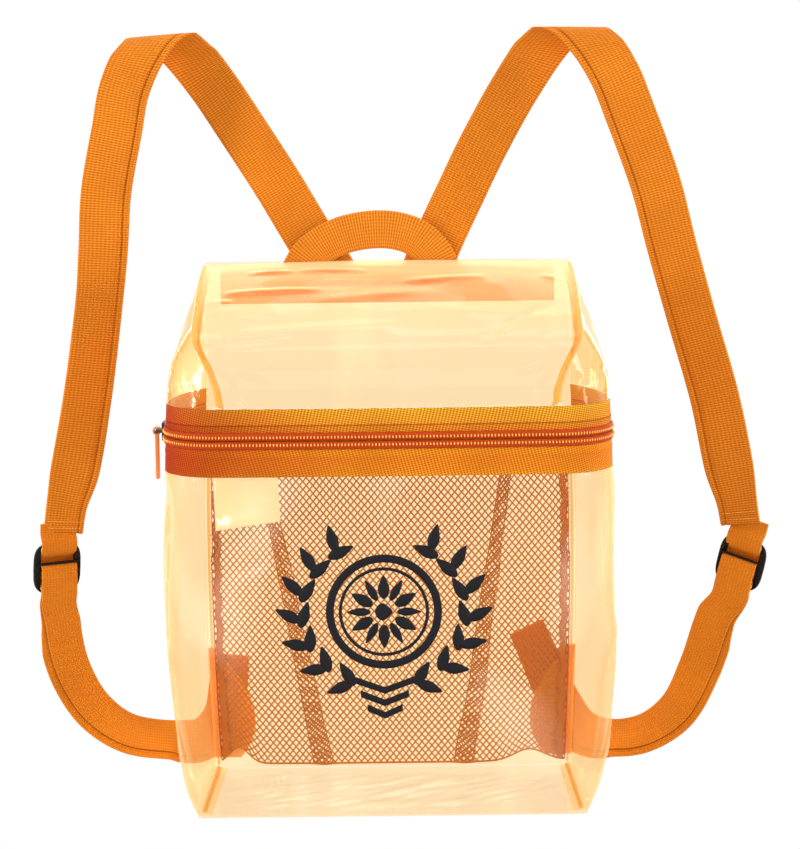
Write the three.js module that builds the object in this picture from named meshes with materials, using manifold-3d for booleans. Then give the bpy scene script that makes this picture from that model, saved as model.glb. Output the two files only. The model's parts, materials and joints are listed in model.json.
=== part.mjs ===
// A clear, tinted film backpack held up by its shoulder straps.
// Millimetres. +X is to the viewer's right, the front faces -Y, +Z is up.
// Shapes are worked out from the middle of the bag's base; the last lines set the origin where the straps hang.
import * as THREE from 'three';
import { mergeVertices } from 'three/addons/utils/BufferGeometryUtils.js';
import Module from 'manifold-3d';

const wasm = await Module();
wasm.setup();

// Film body
const baseWidth = 244;
const bodyWidth = 287;
const bodyDepth = 112;
const bodyHeight = 344;
const filmWall = 1.0;
const frontSwell = 4;
const frontCrown = 2;
const roofWidth = 239;
const roofFrontWidth = 209;
const roofCrown = 2.5;
const gussetSwell = 5.5;
const seamGap = 0.3;

// Zip band
const hoodBase = 261;
const upperTape = 20;
const lowerTape = 22.5;
const tapeWall = 1.3;
const coilHeight = 5.2;
const coilWall = 1.2;

// Zip slider and its pull
const sliderLong = 15;
const sliderWide = 12;
const sliderPlate = 1.3;
const bridgeLong = 9.6;
const bridgeWire = 1.6;
const bridgeWide = 1.8;
const bridgeRise = 4.4;
const sliderTurn = 0.72;
const pullLong = 31;
const pullThick = 2.4;
const pullWide = 5.2;
const pullEye = 1.6;
const pullRim = 1.1;

// Net pocket, label and inner seams
const netWall = 1.0;
const netSwell = 9;
const netTop = 221;
const netFoot = 5;
const netFold = 2.6;
const labelWidth = 43;
const labelHeight = 41;
const labelWall = 0.8;
const allowanceDeep = 6;
const allowanceWall = 1.2;

// Webbing
const strapWidth = 32.5;
const strapThick = 2.6;
const webWidth = 25;
const webThick = 1.3;
const webSlack = 0.5;
const yokeWidth = 220;
const yokeDrop = 3;
const tabHeight = 76;
const tabReach = 29;
const tabFoot = 8;

// Strap adjusters
const glideWidth = 36;
const glideHeight = 35;
const glideThick = 2.6;
const glideBar = 3.0;
const glideRim = 2.9;
const glideSlot = 25.8;
const glideDrop = 22.5;

// Where the straps hang
const hangHeight = 494;
const hangDepth = 57;

// Layers on the back, from the film outwards
const backInner = bodyDepth / 2;
const backOuter = backInner + filmWall;
const yokeDepth = backOuter + seamGap + webThick / 2;
const handleDepth = yokeDepth + webThick + seamGap;
const strapDepth = handleDepth + webThick / 2 + seamGap + strapThick / 2;
const webPair = 2 * webThick + webSlack;
const anchorDepth = yokeDepth + webThick / 2 + seamGap + webPair / 2;
const shellFoot = filmWall + seamGap;
const zipMiddle = hoodBase - upperTape;
const zipFoot = zipMiddle - lowerTape;

// The body's plan by height: rise is a share of the hood's base height, bow a share of the side swell,
// flat a share of the base width, corner a share of the depth, swell a share of the front swell
const bodyLevels = [
  { rise: 0.00, bow: 0.00, flat: 0.488, corner: 0.03, swell: 0.00, back: 0.00 },
  { rise: 0.065, bow: 0.40, flat: 0.464, corner: 0.12, swell: 0.20, back: 0.04 },
  { rise: 0.15, bow: 0.68, flat: 0.443, corner: 0.22, swell: 0.50, back: 0.08 },
  { rise: 0.28, bow: 0.86, flat: 0.430, corner: 0.30, swell: 0.85, back: 0.13 },
  { rise: 0.39, bow: 0.98, flat: 0.428, corner: 0.33, swell: 1.00, back: 0.16 },
  { rise: 0.52, bow: 1.00, flat: 0.427, corner: 0.35, swell: 1.00, back: 0.18 },
  { rise: 0.70, bow: 0.97, flat: 0.427, corner: 0.36, swell: 0.80, back: 0.17 },
  { rise: 0.84, bow: 0.92, flat: 0.428, corner: 0.36, swell: 0.60, back: 0.12 },
  { rise: 1.00, bow: 0.84, flat: 0.430, corner: 0.36, swell: 0.45, back: 0.04 },
];

// The roof's side view, from the zip up and back: rise is a share of the hood's height,
// depth a share of the body's depth, width runs from the width at the zip (0) to the roof's width (1)
const roofLevels = [
  { run: 0.00, rise: 0.000, depth: -0.516, width: 0.00 },
  { run: 0.12, rise: 0.160, depth: -0.502, width: 0.14 },
  { run: 0.24, rise: 0.330, depth: -0.466, width: 0.50 },
  { run: 0.36, rise: 0.495, depth: -0.380, width: 0.98 },
  { run: 0.48, rise: 0.635, depth: -0.240, width: 1.00 },
  { run: 0.62, rise: 0.775, depth: -0.050, width: 1.00 },
  { run: 0.76, rise: 0.885, depth: 0.150, width: 1.00 },
  { run: 0.89, rise: 0.960, depth: 0.340, width: 1.00 },
  { run: 1.00, rise: 1.000, depth: 0.497, width: 0.995 },
];

// Soft dents of the film: turn runs round the body from -1 at the left back edge to 1 at the right one,
// rise is a share of the hood's base height, deep a share of the front swell
const filmDents = [
  { turn: -0.60, rise: 0.72, wide: 0.05, tall: 0.20, deep: 0.55 },
  { turn: -0.52, rise: 0.42, wide: 0.06, tall: 0.16, deep: 0.50 },
  { turn: 0.58, rise: 0.60, wide: 0.06, tall: 0.22, deep: 0.50 },
  { turn: 0.50, rise: 0.30, wide: 0.05, tall: 0.14, deep: 0.40 },
  { turn: -0.10, rise: 0.09, wide: 0.22, tall: 0.06, deep: 0.45 },
];

// Pleats of the net: the middle's place across at the foot and at the top, as shares of the base width
const netPleats = [
  { foot: -0.19, top: -0.35 },
  { foot: 0.20, top: 0.325 },
];

// Routes of the shoulder straps, from the stitched end over the crest and down to the hem.
// out is a share of the strap's reach, up a share of the hang height, back a share of the body's depth
// behind the stitched end; yaw turns the strap's width in plan and wide is a share of the strap's width.
// Where crest is 1 the strap rolls over level, with its width tilted by lean.
const strapReach = 232;
const leftStrap = [
  { out: 0.108, up: 0.640, back: 0.00, yaw: 0, wide: 1 },
  { out: 0.160, up: 0.682, back: 0.006, yaw: 0, wide: 1 },
  { out: 0.220, up: 0.727, back: 0.03, yaw: 0, wide: 1 },
  { out: 0.308, up: 0.797, back: 0.07, yaw: 0, wide: 1 },
  { out: 0.412, up: 0.874, back: 0.10, yaw: 0, wide: 1 },
  { out: 0.490, up: 0.930, back: 0.11, yaw: 0, wide: 1 },
  { out: 0.560, up: 0.972, back: 0.085, yaw: 0, wide: 1, lean: 5, crest: 0.85 },
  { out: 0.622, up: 0.996, back: -0.04, yaw: 0, wide: 1, lean: 6, crest: 1 },
  { out: 0.678, up: 0.970, back: -0.165, yaw: 0, wide: 1, lean: 5, crest: 0.7 },
  { out: 0.722, up: 0.925, back: -0.21, yaw: 2, wide: 1 },
  { out: 0.745, up: 0.872, back: -0.23, yaw: 5, wide: 1 },
  { out: 0.779, up: 0.792, back: -0.24, yaw: 10, wide: 1 },
  { out: 0.792, up: 0.716, back: -0.24, yaw: 18, wide: 1 },
  { out: 0.808, up: 0.650, back: -0.22, yaw: 26, wide: 1 },
  { out: 0.852, up: 0.518, back: -0.20, yaw: 20, wide: 1 },
  { out: 0.896, up: 0.420, back: -0.16, yaw: 14, wide: 1 },
  { out: 0.924, up: 0.372, back: -0.14, yaw: 17, wide: 0.84 },
  { out: 0.938, up: 0.335, back: -0.12, yaw: 26, wide: 0.84 },
];
const rightStrap = [
  { out: 0.082, up: 0.640, back: 0.00, yaw: 0, wide: 1 },
  { out: 0.110, up: 0.680, back: 0.006, yaw: 0, wide: 1 },
  { out: 0.152, up: 0.726, back: 0.03, yaw: 0, wide: 1 },
  { out: 0.208, up: 0.780, back: 0.07, yaw: 0, wide: 1 },
  { out: 0.278, up: 0.846, back: 0.10, yaw: 0, wide: 1 },
  { out: 0.374, up: 0.925, back: 0.11, yaw: 0, wide: 1 },
  { out: 0.452, up: 0.978, back: 0.08, yaw: 0, wide: 1, lean: 2, crest: 0.85 },
  { out: 0.516, up: 1.004, back: -0.05, yaw: 0, wide: 1, lean: 3, crest: 1 },
  { out: 0.580, up: 0.980, back: -0.165, yaw: 0, wide: 1, lean: 2, crest: 0.7 },
  { out: 0.636, up: 0.938, back: -0.22, yaw: 2, wide: 1 },
  { out: 0.680, up: 0.886, back: -0.24, yaw: 5, wide: 1 },
  { out: 0.750, up: 0.795, back: -0.25, yaw: 10, wide: 1 },
  { out: 0.796, up: 0.714, back: -0.24, yaw: 14, wide: 1 },
  { out: 0.852, up: 0.622, back: -0.22, yaw: 16, wide: 1 },
  { out: 0.922, up: 0.512, back: -0.19, yaw: 14, wide: 1 },
  { out: 0.968, up: 0.415, back: -0.15, yaw: 14, wide: 1 },
  { out: 0.992, up: 0.368, back: -0.13, yaw: 17, wide: 0.84 },
  { out: 1.004, up: 0.3365, back: -0.12, yaw: 26, wide: 0.84 },
];

// Routes of the adjusting webs, from the hem down and in to the anchor. lean turns the width in the front
// view, from level at the hem to upright where the web runs in behind the bag.
const leftWeb = [
  { out: 0.938, up: 0.3335, back: -0.12, lean: 0, yaw: 22 },
  { out: 0.952, up: 0.288, back: -0.11, lean: 0, yaw: 30 },
  { out: 0.950, up: 0.242, back: -0.08, lean: 0, yaw: 30 },
  { out: 0.948, up: 0.190, back: -0.05, lean: 4, yaw: 32 },
  { out: 0.924, up: 0.138, back: -0.02, lean: 22, yaw: 36 },
  { out: 0.866, up: 0.086, back: 0.02, lean: 47, yaw: 42 },
  { out: 0.776, up: 0.052, back: 0.05, lean: 68, yaw: 48 },
  { out: 0.640, up: 0.038, back: 0.10, lean: 88, yaw: 46 },
  { out: 0.560, up: 0.042, back: 0.045, lean: 98, yaw: 12 },
  { out: 0.502, up: 0.072, back: 0.018, lean: 135, yaw: 0 },
  { out: 0.480, up: 0.118, back: 0.005, lean: 165, yaw: 0 },
  { out: 0.470, up: 0.158, back: 0.004, lean: 172, yaw: 0 },
];
const rightWeb = [
  { out: 1.002, up: 0.3305, back: -0.12, lean: 0, yaw: 22 },
  { out: 1.000, up: 0.286, back: -0.11, lean: 0, yaw: 30 },
  { out: 0.962, up: 0.242, back: -0.08, lean: 4, yaw: 30 },
  { out: 0.926, up: 0.196, back: -0.05, lean: 8, yaw: 32 },
  { out: 0.886, up: 0.136, back: -0.02, lean: 18, yaw: 36 },
  { out: 0.826, up: 0.076, back: 0.02, lean: 40, yaw: 44 },
  { out: 0.740, up: 0.044, back: 0.05, lean: 66, yaw: 52 },
  { out: 0.640, up: 0.034, back: 0.10, lean: 86, yaw: 50 },
  { out: 0.556, up: 0.048, back: 0.045, lean: 100, yaw: 12 },
  { out: 0.490, up: 0.094, back: 0.018, lean: 128, yaw: 0 },
  { out: 0.436, up: 0.148, back: 0.005, lean: 139, yaw: 0 },
  { out: 0.392, up: 0.192, back: 0.004, lean: 140, yaw: 0 },
];

// The carry handle's route on the yoke: across is a share of the yoke's width, up a share of the body's height
const handleRoute = [
  { across: -0.292, up: 0.930 },
  { across: -0.270, up: 0.968 },
  { across: -0.228, up: 1.012 },
  { across: -0.152, up: 1.043 },
  { across: -0.062, up: 1.057 },
  { across: 0.022, up: 1.056 },
  { across: 0.092, up: 1.040 },
  { across: 0.142, up: 1.008 },
  { across: 0.168, up: 0.968 },
  { across: 0.178, up: 0.930 },
];

// A smooth value between the rows of a table
function sample(rows, key, column, at) {
  const last = rows.length - 1;
  let i = 0;
  while (i < last - 1 && at > rows[i + 1][key]) {
    i += 1;
  }
  const slope = (k) => {
    const before = rows[Math.max(0, k - 1)];
    const after = rows[Math.min(last, k + 1)];
    return (after[column] - before[column]) / (after[key] - before[key]);
  };
  const span = rows[i + 1][key] - rows[i][key];
  const t = Math.min(1, Math.max(0, (at - rows[i][key]) / span));
  const t2 = t * t;
  const t3 = t2 * t;
  return (2 * t3 - 3 * t2 + 1) * rows[i][column]
    + (t3 - 2 * t2 + t) * span * slope(i)
    + (3 * t2 - 2 * t3) * rows[i + 1][column]
    + (t3 - t2) * span * slope(i + 1);
}

function lerp(a, b, t) {
  return a + (b - a) * t;
}

function steps(count) {
  return Array.from({ length: count + 1 }, (_, i) => i / count);
}

// A closed body between two grids of points that face each other
function closedBetween(front, back) {
  const rows = front.length;
  const columns = front[0].length;
  const points = [...front.flat(), ...back.flat()];
  const half = rows * columns;
  const faces = [];
  const quad = (a, b, c, d) => {
    faces.push([a, b, c], [a, c, d]);
  };
  for (let i = 0; i < rows - 1; i += 1) {
    for (let j = 0; j < columns - 1; j += 1) {
      const a = i * columns + j;
      quad(a, a + 1, a + columns + 1, a + columns);
      quad(half + a, half + a + columns, half + a + columns + 1, half + a + 1);
    }
  }
  for (let j = 0; j < columns - 1; j += 1) {
    const top = (rows - 1) * columns + j;
    quad(j, half + j, half + j + 1, j + 1);
    quad(top, top + 1, half + top + 1, half + top);
  }
  for (let i = 0; i < rows - 1; i += 1) {
    const a = i * columns;
    const b = a + columns - 1;
    quad(a, a + columns, half + a + columns, half + a);
    quad(b, half + b, half + b + columns, b + columns);
  }
  return facedOut(points, faces);
}

// Builds the mesh data and turns every face outwards
function facedOut(points, faces) {
  let volume = 0;
  for (const [a, b, c] of faces) {
    volume += points[a].dot(points[b].clone().cross(points[c]));
  }
  const geometry = new THREE.BufferGeometry();
  geometry.setAttribute('position', new THREE.Float32BufferAttribute(points.flatMap((p) => [p.x, p.y, p.z]), 3));
  geometry.setIndex(faces.flatMap(([a, b, c]) => (volume > 0 ? [a, b, c] : [a, c, b])));
  geometry.computeVertexNormals();
  return geometry;
}

function mirrored(geometry) {
  const place = geometry.getAttribute('position');
  const points = Array.from({ length: place.count }, (_, i) => {
    return new THREE.Vector3(-place.getX(i), place.getY(i), place.getZ(i));
  });
  const index = geometry.getIndex().array;
  const faces = Array.from({ length: index.length / 3 }, (_, i) => [index[3 * i], index[3 * i + 1], index[3 * i + 2]]);
  return facedOut(points, faces);
}

// The outward direction at each point of a grid whose columns run left to right and rows run up
function gridNormals(grid) {
  const rows = grid.length;
  const columns = grid[0].length;
  return grid.map((row, i) => row.map((_, j) => {
    const across = row[Math.min(columns - 1, j + 1)].clone().sub(row[Math.max(0, j - 1)]);
    const up = grid[Math.min(rows - 1, i + 1)][j].clone().sub(grid[Math.max(0, i - 1)][j]);
    return across.cross(up).normalize();
  }));
}

function raised(grid, amount) {
  const normals = gridNormals(grid);
  return grid.map((row, i) => row.map((p, j) => {
    return p.clone().addScaledVector(normals[i][j], amount(i, j));
  }));
}

// A sheet whose outer face is the grid
function sheet(grid, wall) {
  return closedBetween(grid, raised(grid, () => -wall));
}

// A flat band through stations of { place, width }, where width is the half width as a vector
function band(stations, thick) {
  const last = stations.length - 1;
  const front = [];
  const back = [];
  stations.forEach(({ place, width }, i) => {
    const along = stations[Math.min(last, i + 1)].place.clone().sub(stations[Math.max(0, i - 1)].place);
    const face = width.clone().cross(along).normalize().multiplyScalar(thick / 2);
    const edges = [place.clone().sub(width), place.clone().add(width)];
    front.push(edges.map((p) => p.clone().add(face)));
    back.push(edges.map((p) => p.clone().sub(face)));
  });
  return closedBetween(front, back);
}

// Plan section of the body at a height; turn runs from -1 at the left back edge over 0 to 1 at the right one
const flatShare = 0.40;
const cornerShare = 0.66;
function bodyPoint(height, turn) {
  const rise = height / hoodBase;
  const column = (name) => sample(bodyLevels, 'rise', name, rise);
  const side = Math.sign(turn);
  const t = Math.abs(turn);
  const swell = (bodyWidth - baseWidth) / 2;
  const half = baseWidth / 2 + swell * column('bow');
  const flat = baseWidth * column('flat');
  const backHalf = baseWidth / 2 + swell * column('back') - 1.5 * filmWall;
  const front = -bodyDepth / 2 - frontSwell * column('swell');
  const corner = bodyDepth * column('corner');
  const crown = frontCrown * Math.min(1, 4 * rise);
  if (t < flatShare) {
    const s = t / flatShare;
    return new THREE.Vector3(side * flat * s, front - crown * (1 - s * s), height);
  }
  if (t < cornerShare) {
    const angle = ((t - flatShare) / (cornerShare - flatShare)) * Math.PI / 2;
    const x = flat + (half - flat) * Math.sin(angle);
    return new THREE.Vector3(side * x, front + corner * (1 - Math.cos(angle)), height);
  }
  const q = (t - cornerShare) / (1 - cornerShare);
  const x = backHalf + (half - backHalf) * (1 - q * q);
  return new THREE.Vector3(side * x, lerp(front + corner, backInner - seamGap, q), height);
}

// Places round the body: more of them where the corners turn
const flatTurns = steps(4).map((s) => s * flatShare);
const cornerTurns = steps(6).map((s) => lerp(flatShare, cornerShare, s)).slice(1);
const sideTurns = steps(5).map((s) => lerp(cornerShare, 1, s)).slice(1);
const halfTurns = [...flatTurns, ...cornerTurns, ...sideTurns];
const bodyTurns = [...halfTurns.slice(1).reverse().map((t) => -t), ...halfTurns];

function bodyGrid(heights) {
  return heights.map((height) => bodyTurns.map((turn) => bodyPoint(height, turn)));
}

function dentDepth(turn, height) {
  let deep = 0;
  for (const dent of filmDents) {
    const across = (turn - dent.turn) / dent.wide;
    const up = (height / hoodBase - dent.rise) / dent.tall;
    deep += frontSwell * dent.deep * Math.exp(-across * across - up * up);
  }
  return deep;
}

function lowerShell() {
  const heights = steps(13).map((s) => lerp(shellFoot, zipFoot - seamGap, s ** 1.25));
  const grid = bodyGrid(heights);
  const dented = raised(grid, (i, j) => {
    const edge = Math.min(1, Math.min(i, heights.length - 1 - i) / 2);
    return -dentDepth(bodyTurns[j], heights[i]) * edge;
  });
  return sheet(dented, filmWall);
}

function bottomPanel() {
  const foot = bodyPoint(shellFoot, flatShare);
  const side = bodyPoint(shellFoot, cornerShare);
  const shape = new THREE.Shape();
  shape.moveTo(-side.x, backOuter);
  shape.lineTo(-side.x, side.y);
  shape.lineTo(-foot.x, foot.y);
  shape.lineTo(foot.x, foot.y);
  shape.lineTo(side.x, side.y);
  shape.lineTo(side.x, backOuter);
  shape.closePath();
  return welded(new THREE.ExtrudeGeometry(shape, { depth: filmWall, bevelEnabled: false }));
}

function backPanel() {
  const heights = steps(10).map((s) => lerp(shellFoot, bodyHeight, s));
  const edge = (height) => {
    return height < hoodBase ? bodyPoint(height, 1).x : roofEdge(1).x + gussetBackSlack(height);
  };
  const grid = heights.map((height) => steps(6).map((s) => {
    return new THREE.Vector3(lerp(edge(height), -edge(height), s), backOuter, height);
  }));
  return sheet(grid, filmWall);
}

// The side gusset's back edge leans in from the zip to the roof's corner
function gussetBackSlack(height) {
  const foot = bodyPoint(hoodBase, 1).x;
  const share = Math.max(0, bodyHeight - height) / (bodyHeight - hoodBase);
  return (foot - roofEdge(1).x) * share;
}

// The right edge of the roof panel at a share of its run
function roofEdge(run) {
  const column = (name) => sample(roofLevels, 'run', name, run);
  const half = lerp(roofFrontWidth, roofWidth, column('width')) / 2;
  const top = bodyHeight - roofCrown;
  const height = lerp(hoodBase + seamGap, top, column('rise'));
  return new THREE.Vector3(half, bodyDepth * column('depth'), height);
}

function hoodPanel() {
  const grid = steps(16).map((run) => {
    const edge = roofEdge(run);
    const lift = roofCrown * Math.min(1, run * 1.4);
    return steps(10).map((s) => {
      const across = 2 * s - 1;
      const crown = 1 - across * across;
      const forward = frontCrown * crown * (1 - run);
      return new THREE.Vector3(edge.x * across, edge.y - forward, edge.z + lift * crown);
    });
  });
  return sheet(grid, filmWall);
}

// The side gusset of the hood, between the zip band and the roof panel's edge
function hoodGusset() {
  const gap = seamGap + filmWall;
  const runs = [...steps(16)].reverse();
  const ups = steps(6);
  const grid = ups.map((up) => runs.map((run) => {
    const turn = -lerp(flatShare + 0.015, 1, run ** 0.8);
    const foot = bodyPoint(hoodBase + seamGap, turn);
    const edge = roofEdge(run);
    const clear = gap + seamGap;
    const head = new THREE.Vector3(-edge.x - clear, edge.y, edge.z + 1.2);
    const bow = gussetSwell * Math.sin(Math.PI * up) * Math.min(1, run * 3) * Math.min(1, (1 - run) * 4);
    const place = foot.lerp(head, up);
    place.x -= bow;
    place.y = Math.min(place.y, backInner - seamGap);
    return place;
  }));
  return sheet(grid, filmWall);
}

// Raw seam allowance that stands inside the hood along the roof panel's edge
function hoodSeam() {
  const runs = steps(15).map((s) => lerp(0.30, 0.985, s));
  const inset = filmWall + 2 * seamGap + allowanceWall / 2;
  const stations = runs.map((run) => {
    const edge = roofEdge(run);
    const ahead = roofEdge(Math.min(1, run + 0.02));
    const behind = roofEdge(run - 0.02);
    const along = ahead.sub(behind).setX(0).normalize();
    const down = new THREE.Vector3(0, along.z, -along.y);
    const place = new THREE.Vector3(-edge.x + inset, edge.y, edge.z);
    place.addScaledVector(down, filmWall + 2.5 * seamGap + allowanceDeep / 2);
    return { place, width: down.multiplyScalar(allowanceDeep / 2) };
  });
  return band(stations, allowanceWall);
}

// Raw seam allowance of the back seam, standing into the bag beside the net
function backSeam() {
  const heights = steps(12).map((s) => lerp(netFoot, zipFoot, s));
  const stations = heights.map((height) => {
    const edge = bodyPoint(height, 1).x - filmWall - 3 * seamGap - allowanceWall;
    const place = new THREE.Vector3(-edge, backInner - seamGap - allowanceDeep / 2, height);
    return { place, width: new THREE.Vector3(0, allowanceDeep / 2, 0) };
  });
  return band(stations, allowanceWall);
}

function zipTape(low, high) {
  return sheet(bodyGrid([low, (low + high) / 2, high]), tapeWall);
}

// One half of the closed coil, a rounded ridge on the tape's edge
function zipCoil(low, high) {
  const ridge = [0.55, 1, 1, 0.45];
  const heights = ridge.map((_, i) => lerp(low, high, i / (ridge.length - 1)));
  const base = bodyGrid(heights);
  const outer = raised(base, (i) => seamGap + coilWall * ridge[i]);
  const inner = raised(base, () => seamGap);
  return closedBetween(outer, inner);
}

// The net hangs from the zip band over the back panel, with two pleats
function netPocket() {
  const columns = steps(28);
  const rows = steps(9);
  const grid = rows.map((up) => columns.map((s) => {
    const across = 2 * s - 1;
    const height = lerp(netFoot, netTop, up);
    const reach = bodyPoint(height, 1).x - filmWall - allowanceWall * 2 - 5 * seamGap;
    const swell = netSwell * (1 - across ** 4) * (0.25 + 0.75 * Math.sin(Math.PI * lerp(0.08, 0.62, up)));
    let fold = 0;
    for (const pleat of netPleats) {
      const middle = baseWidth * lerp(pleat.foot, pleat.top, up);
      const away = (reach * across - middle) / (netFold * 2.2);
      fold += netFold * Math.exp(-away * away);
    }
    const place = new THREE.Vector3(reach * across, backInner - seamGap - netWall - swell - fold, height);
    return place;
  }));
  return sheet(grid, netWall);
}

// A bare label hung from the net pocket's top, a little curled
function careLabel() {
  const left = -0.48 * baseWidth;
  const top = zipFoot - 11;
  const front = backInner - netSwell * 0.885 - netFold - netWall - 2 * seamGap;
  const grid = steps(4).map((up) => steps(4).map((s) => {
    const curl = 2.0 * (s - 0.5) ** 2;
    const x = left + labelWidth * s + 1.5 * (1 - up);
    const z = top - labelHeight * (1 - up) - 4 * s * up + 6 * s * (1 - up);
    return new THREE.Vector3(x, front - curl, z);
  }));
  return sheet(grid, labelWall);
}

function yokeBand() {
  const middle = bodyHeight - yokeDrop - webWidth / 2;
  const stations = steps(8).map((s) => ({
    place: new THREE.Vector3(lerp(-yokeWidth / 2, yokeWidth / 2, s), yokeDepth, middle),
    width: new THREE.Vector3(0, 0, webWidth / 2),
  }));
  return band(stations, webThick);
}

function carryHandle() {
  const route = new THREE.CatmullRomCurve3(handleRoute.map(({ across, up }) => {
    return new THREE.Vector3(across * yokeWidth, handleDepth, up * bodyHeight);
  }));
  const stations = steps(26).map((u) => {
    const along = route.getTangentAt(u);
    const width = new THREE.Vector3(-along.z, 0, along.x).multiplyScalar(webWidth / 2);
    return { place: route.getPointAt(u), width };
  });
  return band(stations, webThick);
}

// The frame of a strap's route at a share of its length: place, width direction and facing direction.
// Routes are worked out on the right side, with +X outwards; the left side is mirrored.
function routeOf(rows, depth) {
  const places = rows.map(({ out, up, back }) => {
    return new THREE.Vector3(out * strapReach, depth + back * bodyDepth, up * hangHeight);
  });
  const curve = new THREE.CatmullRomCurve3(places, false, 'centripetal');
  curve.arcLengthDivisions = 600;
  const plain = { lean: 0, wide: 1, crest: 0 };
  const stepRows = rows.map((row, i) => ({ ...plain, ...row, step: i / (rows.length - 1) }));
  const frame = (share) => {
    const step = curve.getUtoTmapping(share);
    const column = (name) => sample(stepRows, 'step', name, step);
    const along = curve.getTangentAt(share);
    const lean = THREE.MathUtils.degToRad(column('lean'));
    const yaw = THREE.MathUtils.degToRad(column('yaw'));
    const rung = new THREE.Vector3(-Math.cos(lean) * Math.cos(yaw), Math.sin(yaw), Math.sin(lean) * Math.cos(yaw));
    const width = rung.clone().addScaledVector(along, -rung.dot(along)).normalize();
    width.lerp(rung, Math.max(0, column('crest'))).normalize();
    const face = width.clone().cross(along).normalize();
    const slant = Math.sqrt(1 - width.dot(along) ** 2);
    return { place: curve.getPointAt(share), along, width, face, wide: column('wide') / slant };
  };
  return { frame, length: curve.getLength() };
}

function shoulderStrap(rows) {
  const route = routeOf(rows, strapDepth);
  const stations = steps(70).map((share) => {
    const { place, width, wide } = route.frame(share);
    return { place, width: width.multiplyScalar(wide * strapWidth / 2) };
  });
  return band(stations, strapThick);
}

// The adjusting web: down from the hem, behind the adjuster's bar, on to the anchor, and back up to the bar.
// at is the distance from the hem, lift the distance in front of the route.
function webStations(route) {
  const overRim = glideThick / 2 + seamGap + webThick / 2 + 0.15;
  const wrap = Math.hypot(glideThick, glideBar) / 2 + seamGap + webThick / 2;
  const layer = (webThick + webSlack) / 2;
  const behind = wrap + webThick + seamGap;
  const doubled = overRim + webThick + seamGap + 0.1;
  const rim = glideHeight / 2 - glideRim / 2;
  const bar = glideDrop;
  const end = route.length - layer;
  const down = [
    { at: 3 * seamGap, lift: 0 },
    { at: bar - rim - 2.5, lift: overRim * 0.85 },
    { at: bar - rim, lift: overRim },
    { at: bar - rim + 2.5, lift: overRim * 0.9 },
    { at: bar - 9.5, lift: 0.2 },
    { at: bar - 6, lift: -behind * 0.72 },
    { at: bar - 2.5, lift: -behind },
    { at: bar + 2.5, lift: -behind },
    { at: bar + 6, lift: -behind * 0.72 },
    { at: bar + 10, lift: 0.4 },
    { at: bar + rim - 2, lift: overRim },
    { at: bar + rim + 2, lift: overRim },
    { at: bar + rim + 9, lift: -layer },
  ];
  const up = [
    { at: bar + rim + 10, lift: layer + 0.8 },
    { at: bar + rim + 3, lift: doubled },
    { at: bar + rim - 3, lift: doubled },
    { at: bar + 7, lift: doubled * 0.95 },
    { at: bar + 3, lift: wrap + 0.4 },
  ];
  const runCount = 34;
  const run = steps(runCount).slice(1).map((s) => ({ at: lerp(bar + rim + 9, end, s), lift: -layer }));
  const turn = [0.25, 0.5, 0.75].map((s) => ({
    at: end + layer * Math.sin(Math.PI * s),
    lift: -layer * Math.cos(Math.PI * s),
  }));
  const rise = steps(runCount).map((s) => ({ at: lerp(end, bar + rim + 16, s), lift: layer }));
  const loop = steps(8).map((s) => ({
    at: bar - wrap * Math.sin(Math.PI * s),
    lift: wrap * Math.cos(Math.PI * s),
  }));
  const tail = [{ at: bar + 2.5, lift: -wrap }];
  return [...down, ...run, ...turn, ...rise, ...up, ...loop, ...tail];
}

// The web lies straight through the adjuster, then eases into its own route
function webFrame(route, at) {
  const easeFrom = glideDrop + glideHeight / 2 + 2;
  const easeOver = 22;
  const own = route.frame(Math.min(1, at / route.length));
  if (at >= easeFrom + easeOver) {
    return own;
  }
  const held = route.frame(glideDrop / route.length);
  held.place.addScaledVector(held.along, at - glideDrop);
  const t = Math.max(0, (at - easeFrom) / easeOver);
  const ease = t * t * (3 - 2 * t);
  const place = held.place.lerp(own.place, ease);
  const along = held.along.lerp(own.along, ease).normalize();
  const width = held.width.lerp(own.width, ease);
  width.addScaledVector(along, -width.dot(along)).normalize();
  return { place, along, width, face: width.clone().cross(along) };
}

function adjusterWeb(rows) {
  const route = routeOf(rows, anchorDepth);
  const stations = webStations(route).map(({ at, lift }) => {
    const { place, along, width, face } = webFrame(route, at);
    place.addScaledVector(along, Math.max(0, at - route.length)).addScaledVector(face, lift);
    return { place, width: width.multiplyScalar(webWidth / 2) };
  });
  return band(stations, webThick);
}

// The strap adjuster: a lens-shaped frame with two slots and a bar between them
function triGlide() {
  const shape = new THREE.Shape();
  const corners = 36;
  const square = 3.6;
  const points = Array.from({ length: corners }, (_, i) => {
    const angle = (i / corners) * 2 * Math.PI;
    const c = Math.cos(angle);
    const s = Math.sin(angle);
    const x = Math.sign(c) * Math.abs(c) ** (2 / square) * glideWidth / 2;
    const y = Math.sign(s) * Math.abs(s) ** (2 / square) * glideHeight / 2;
    return new THREE.Vector2(x, y);
  });
  shape.setFromPoints(points);
  const slotTop = glideHeight / 2 - glideRim;
  for (const side of [-1, 1]) {
    const slot = new THREE.Path();
    slot.moveTo(-glideSlot / 2, side * glideBar / 2);
    slot.lineTo(glideSlot / 2, side * glideBar / 2);
    slot.lineTo(glideSlot / 2, side * slotTop);
    slot.lineTo(-glideSlot / 2, side * slotTop);
    slot.closePath();
    shape.holes.push(slot);
  }
  const geometry = new THREE.ExtrudeGeometry(shape, { depth: glideThick, bevelEnabled: false });
  geometry.translate(0, 0, -glideThick / 2);
  return welded(geometry);
}

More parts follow.
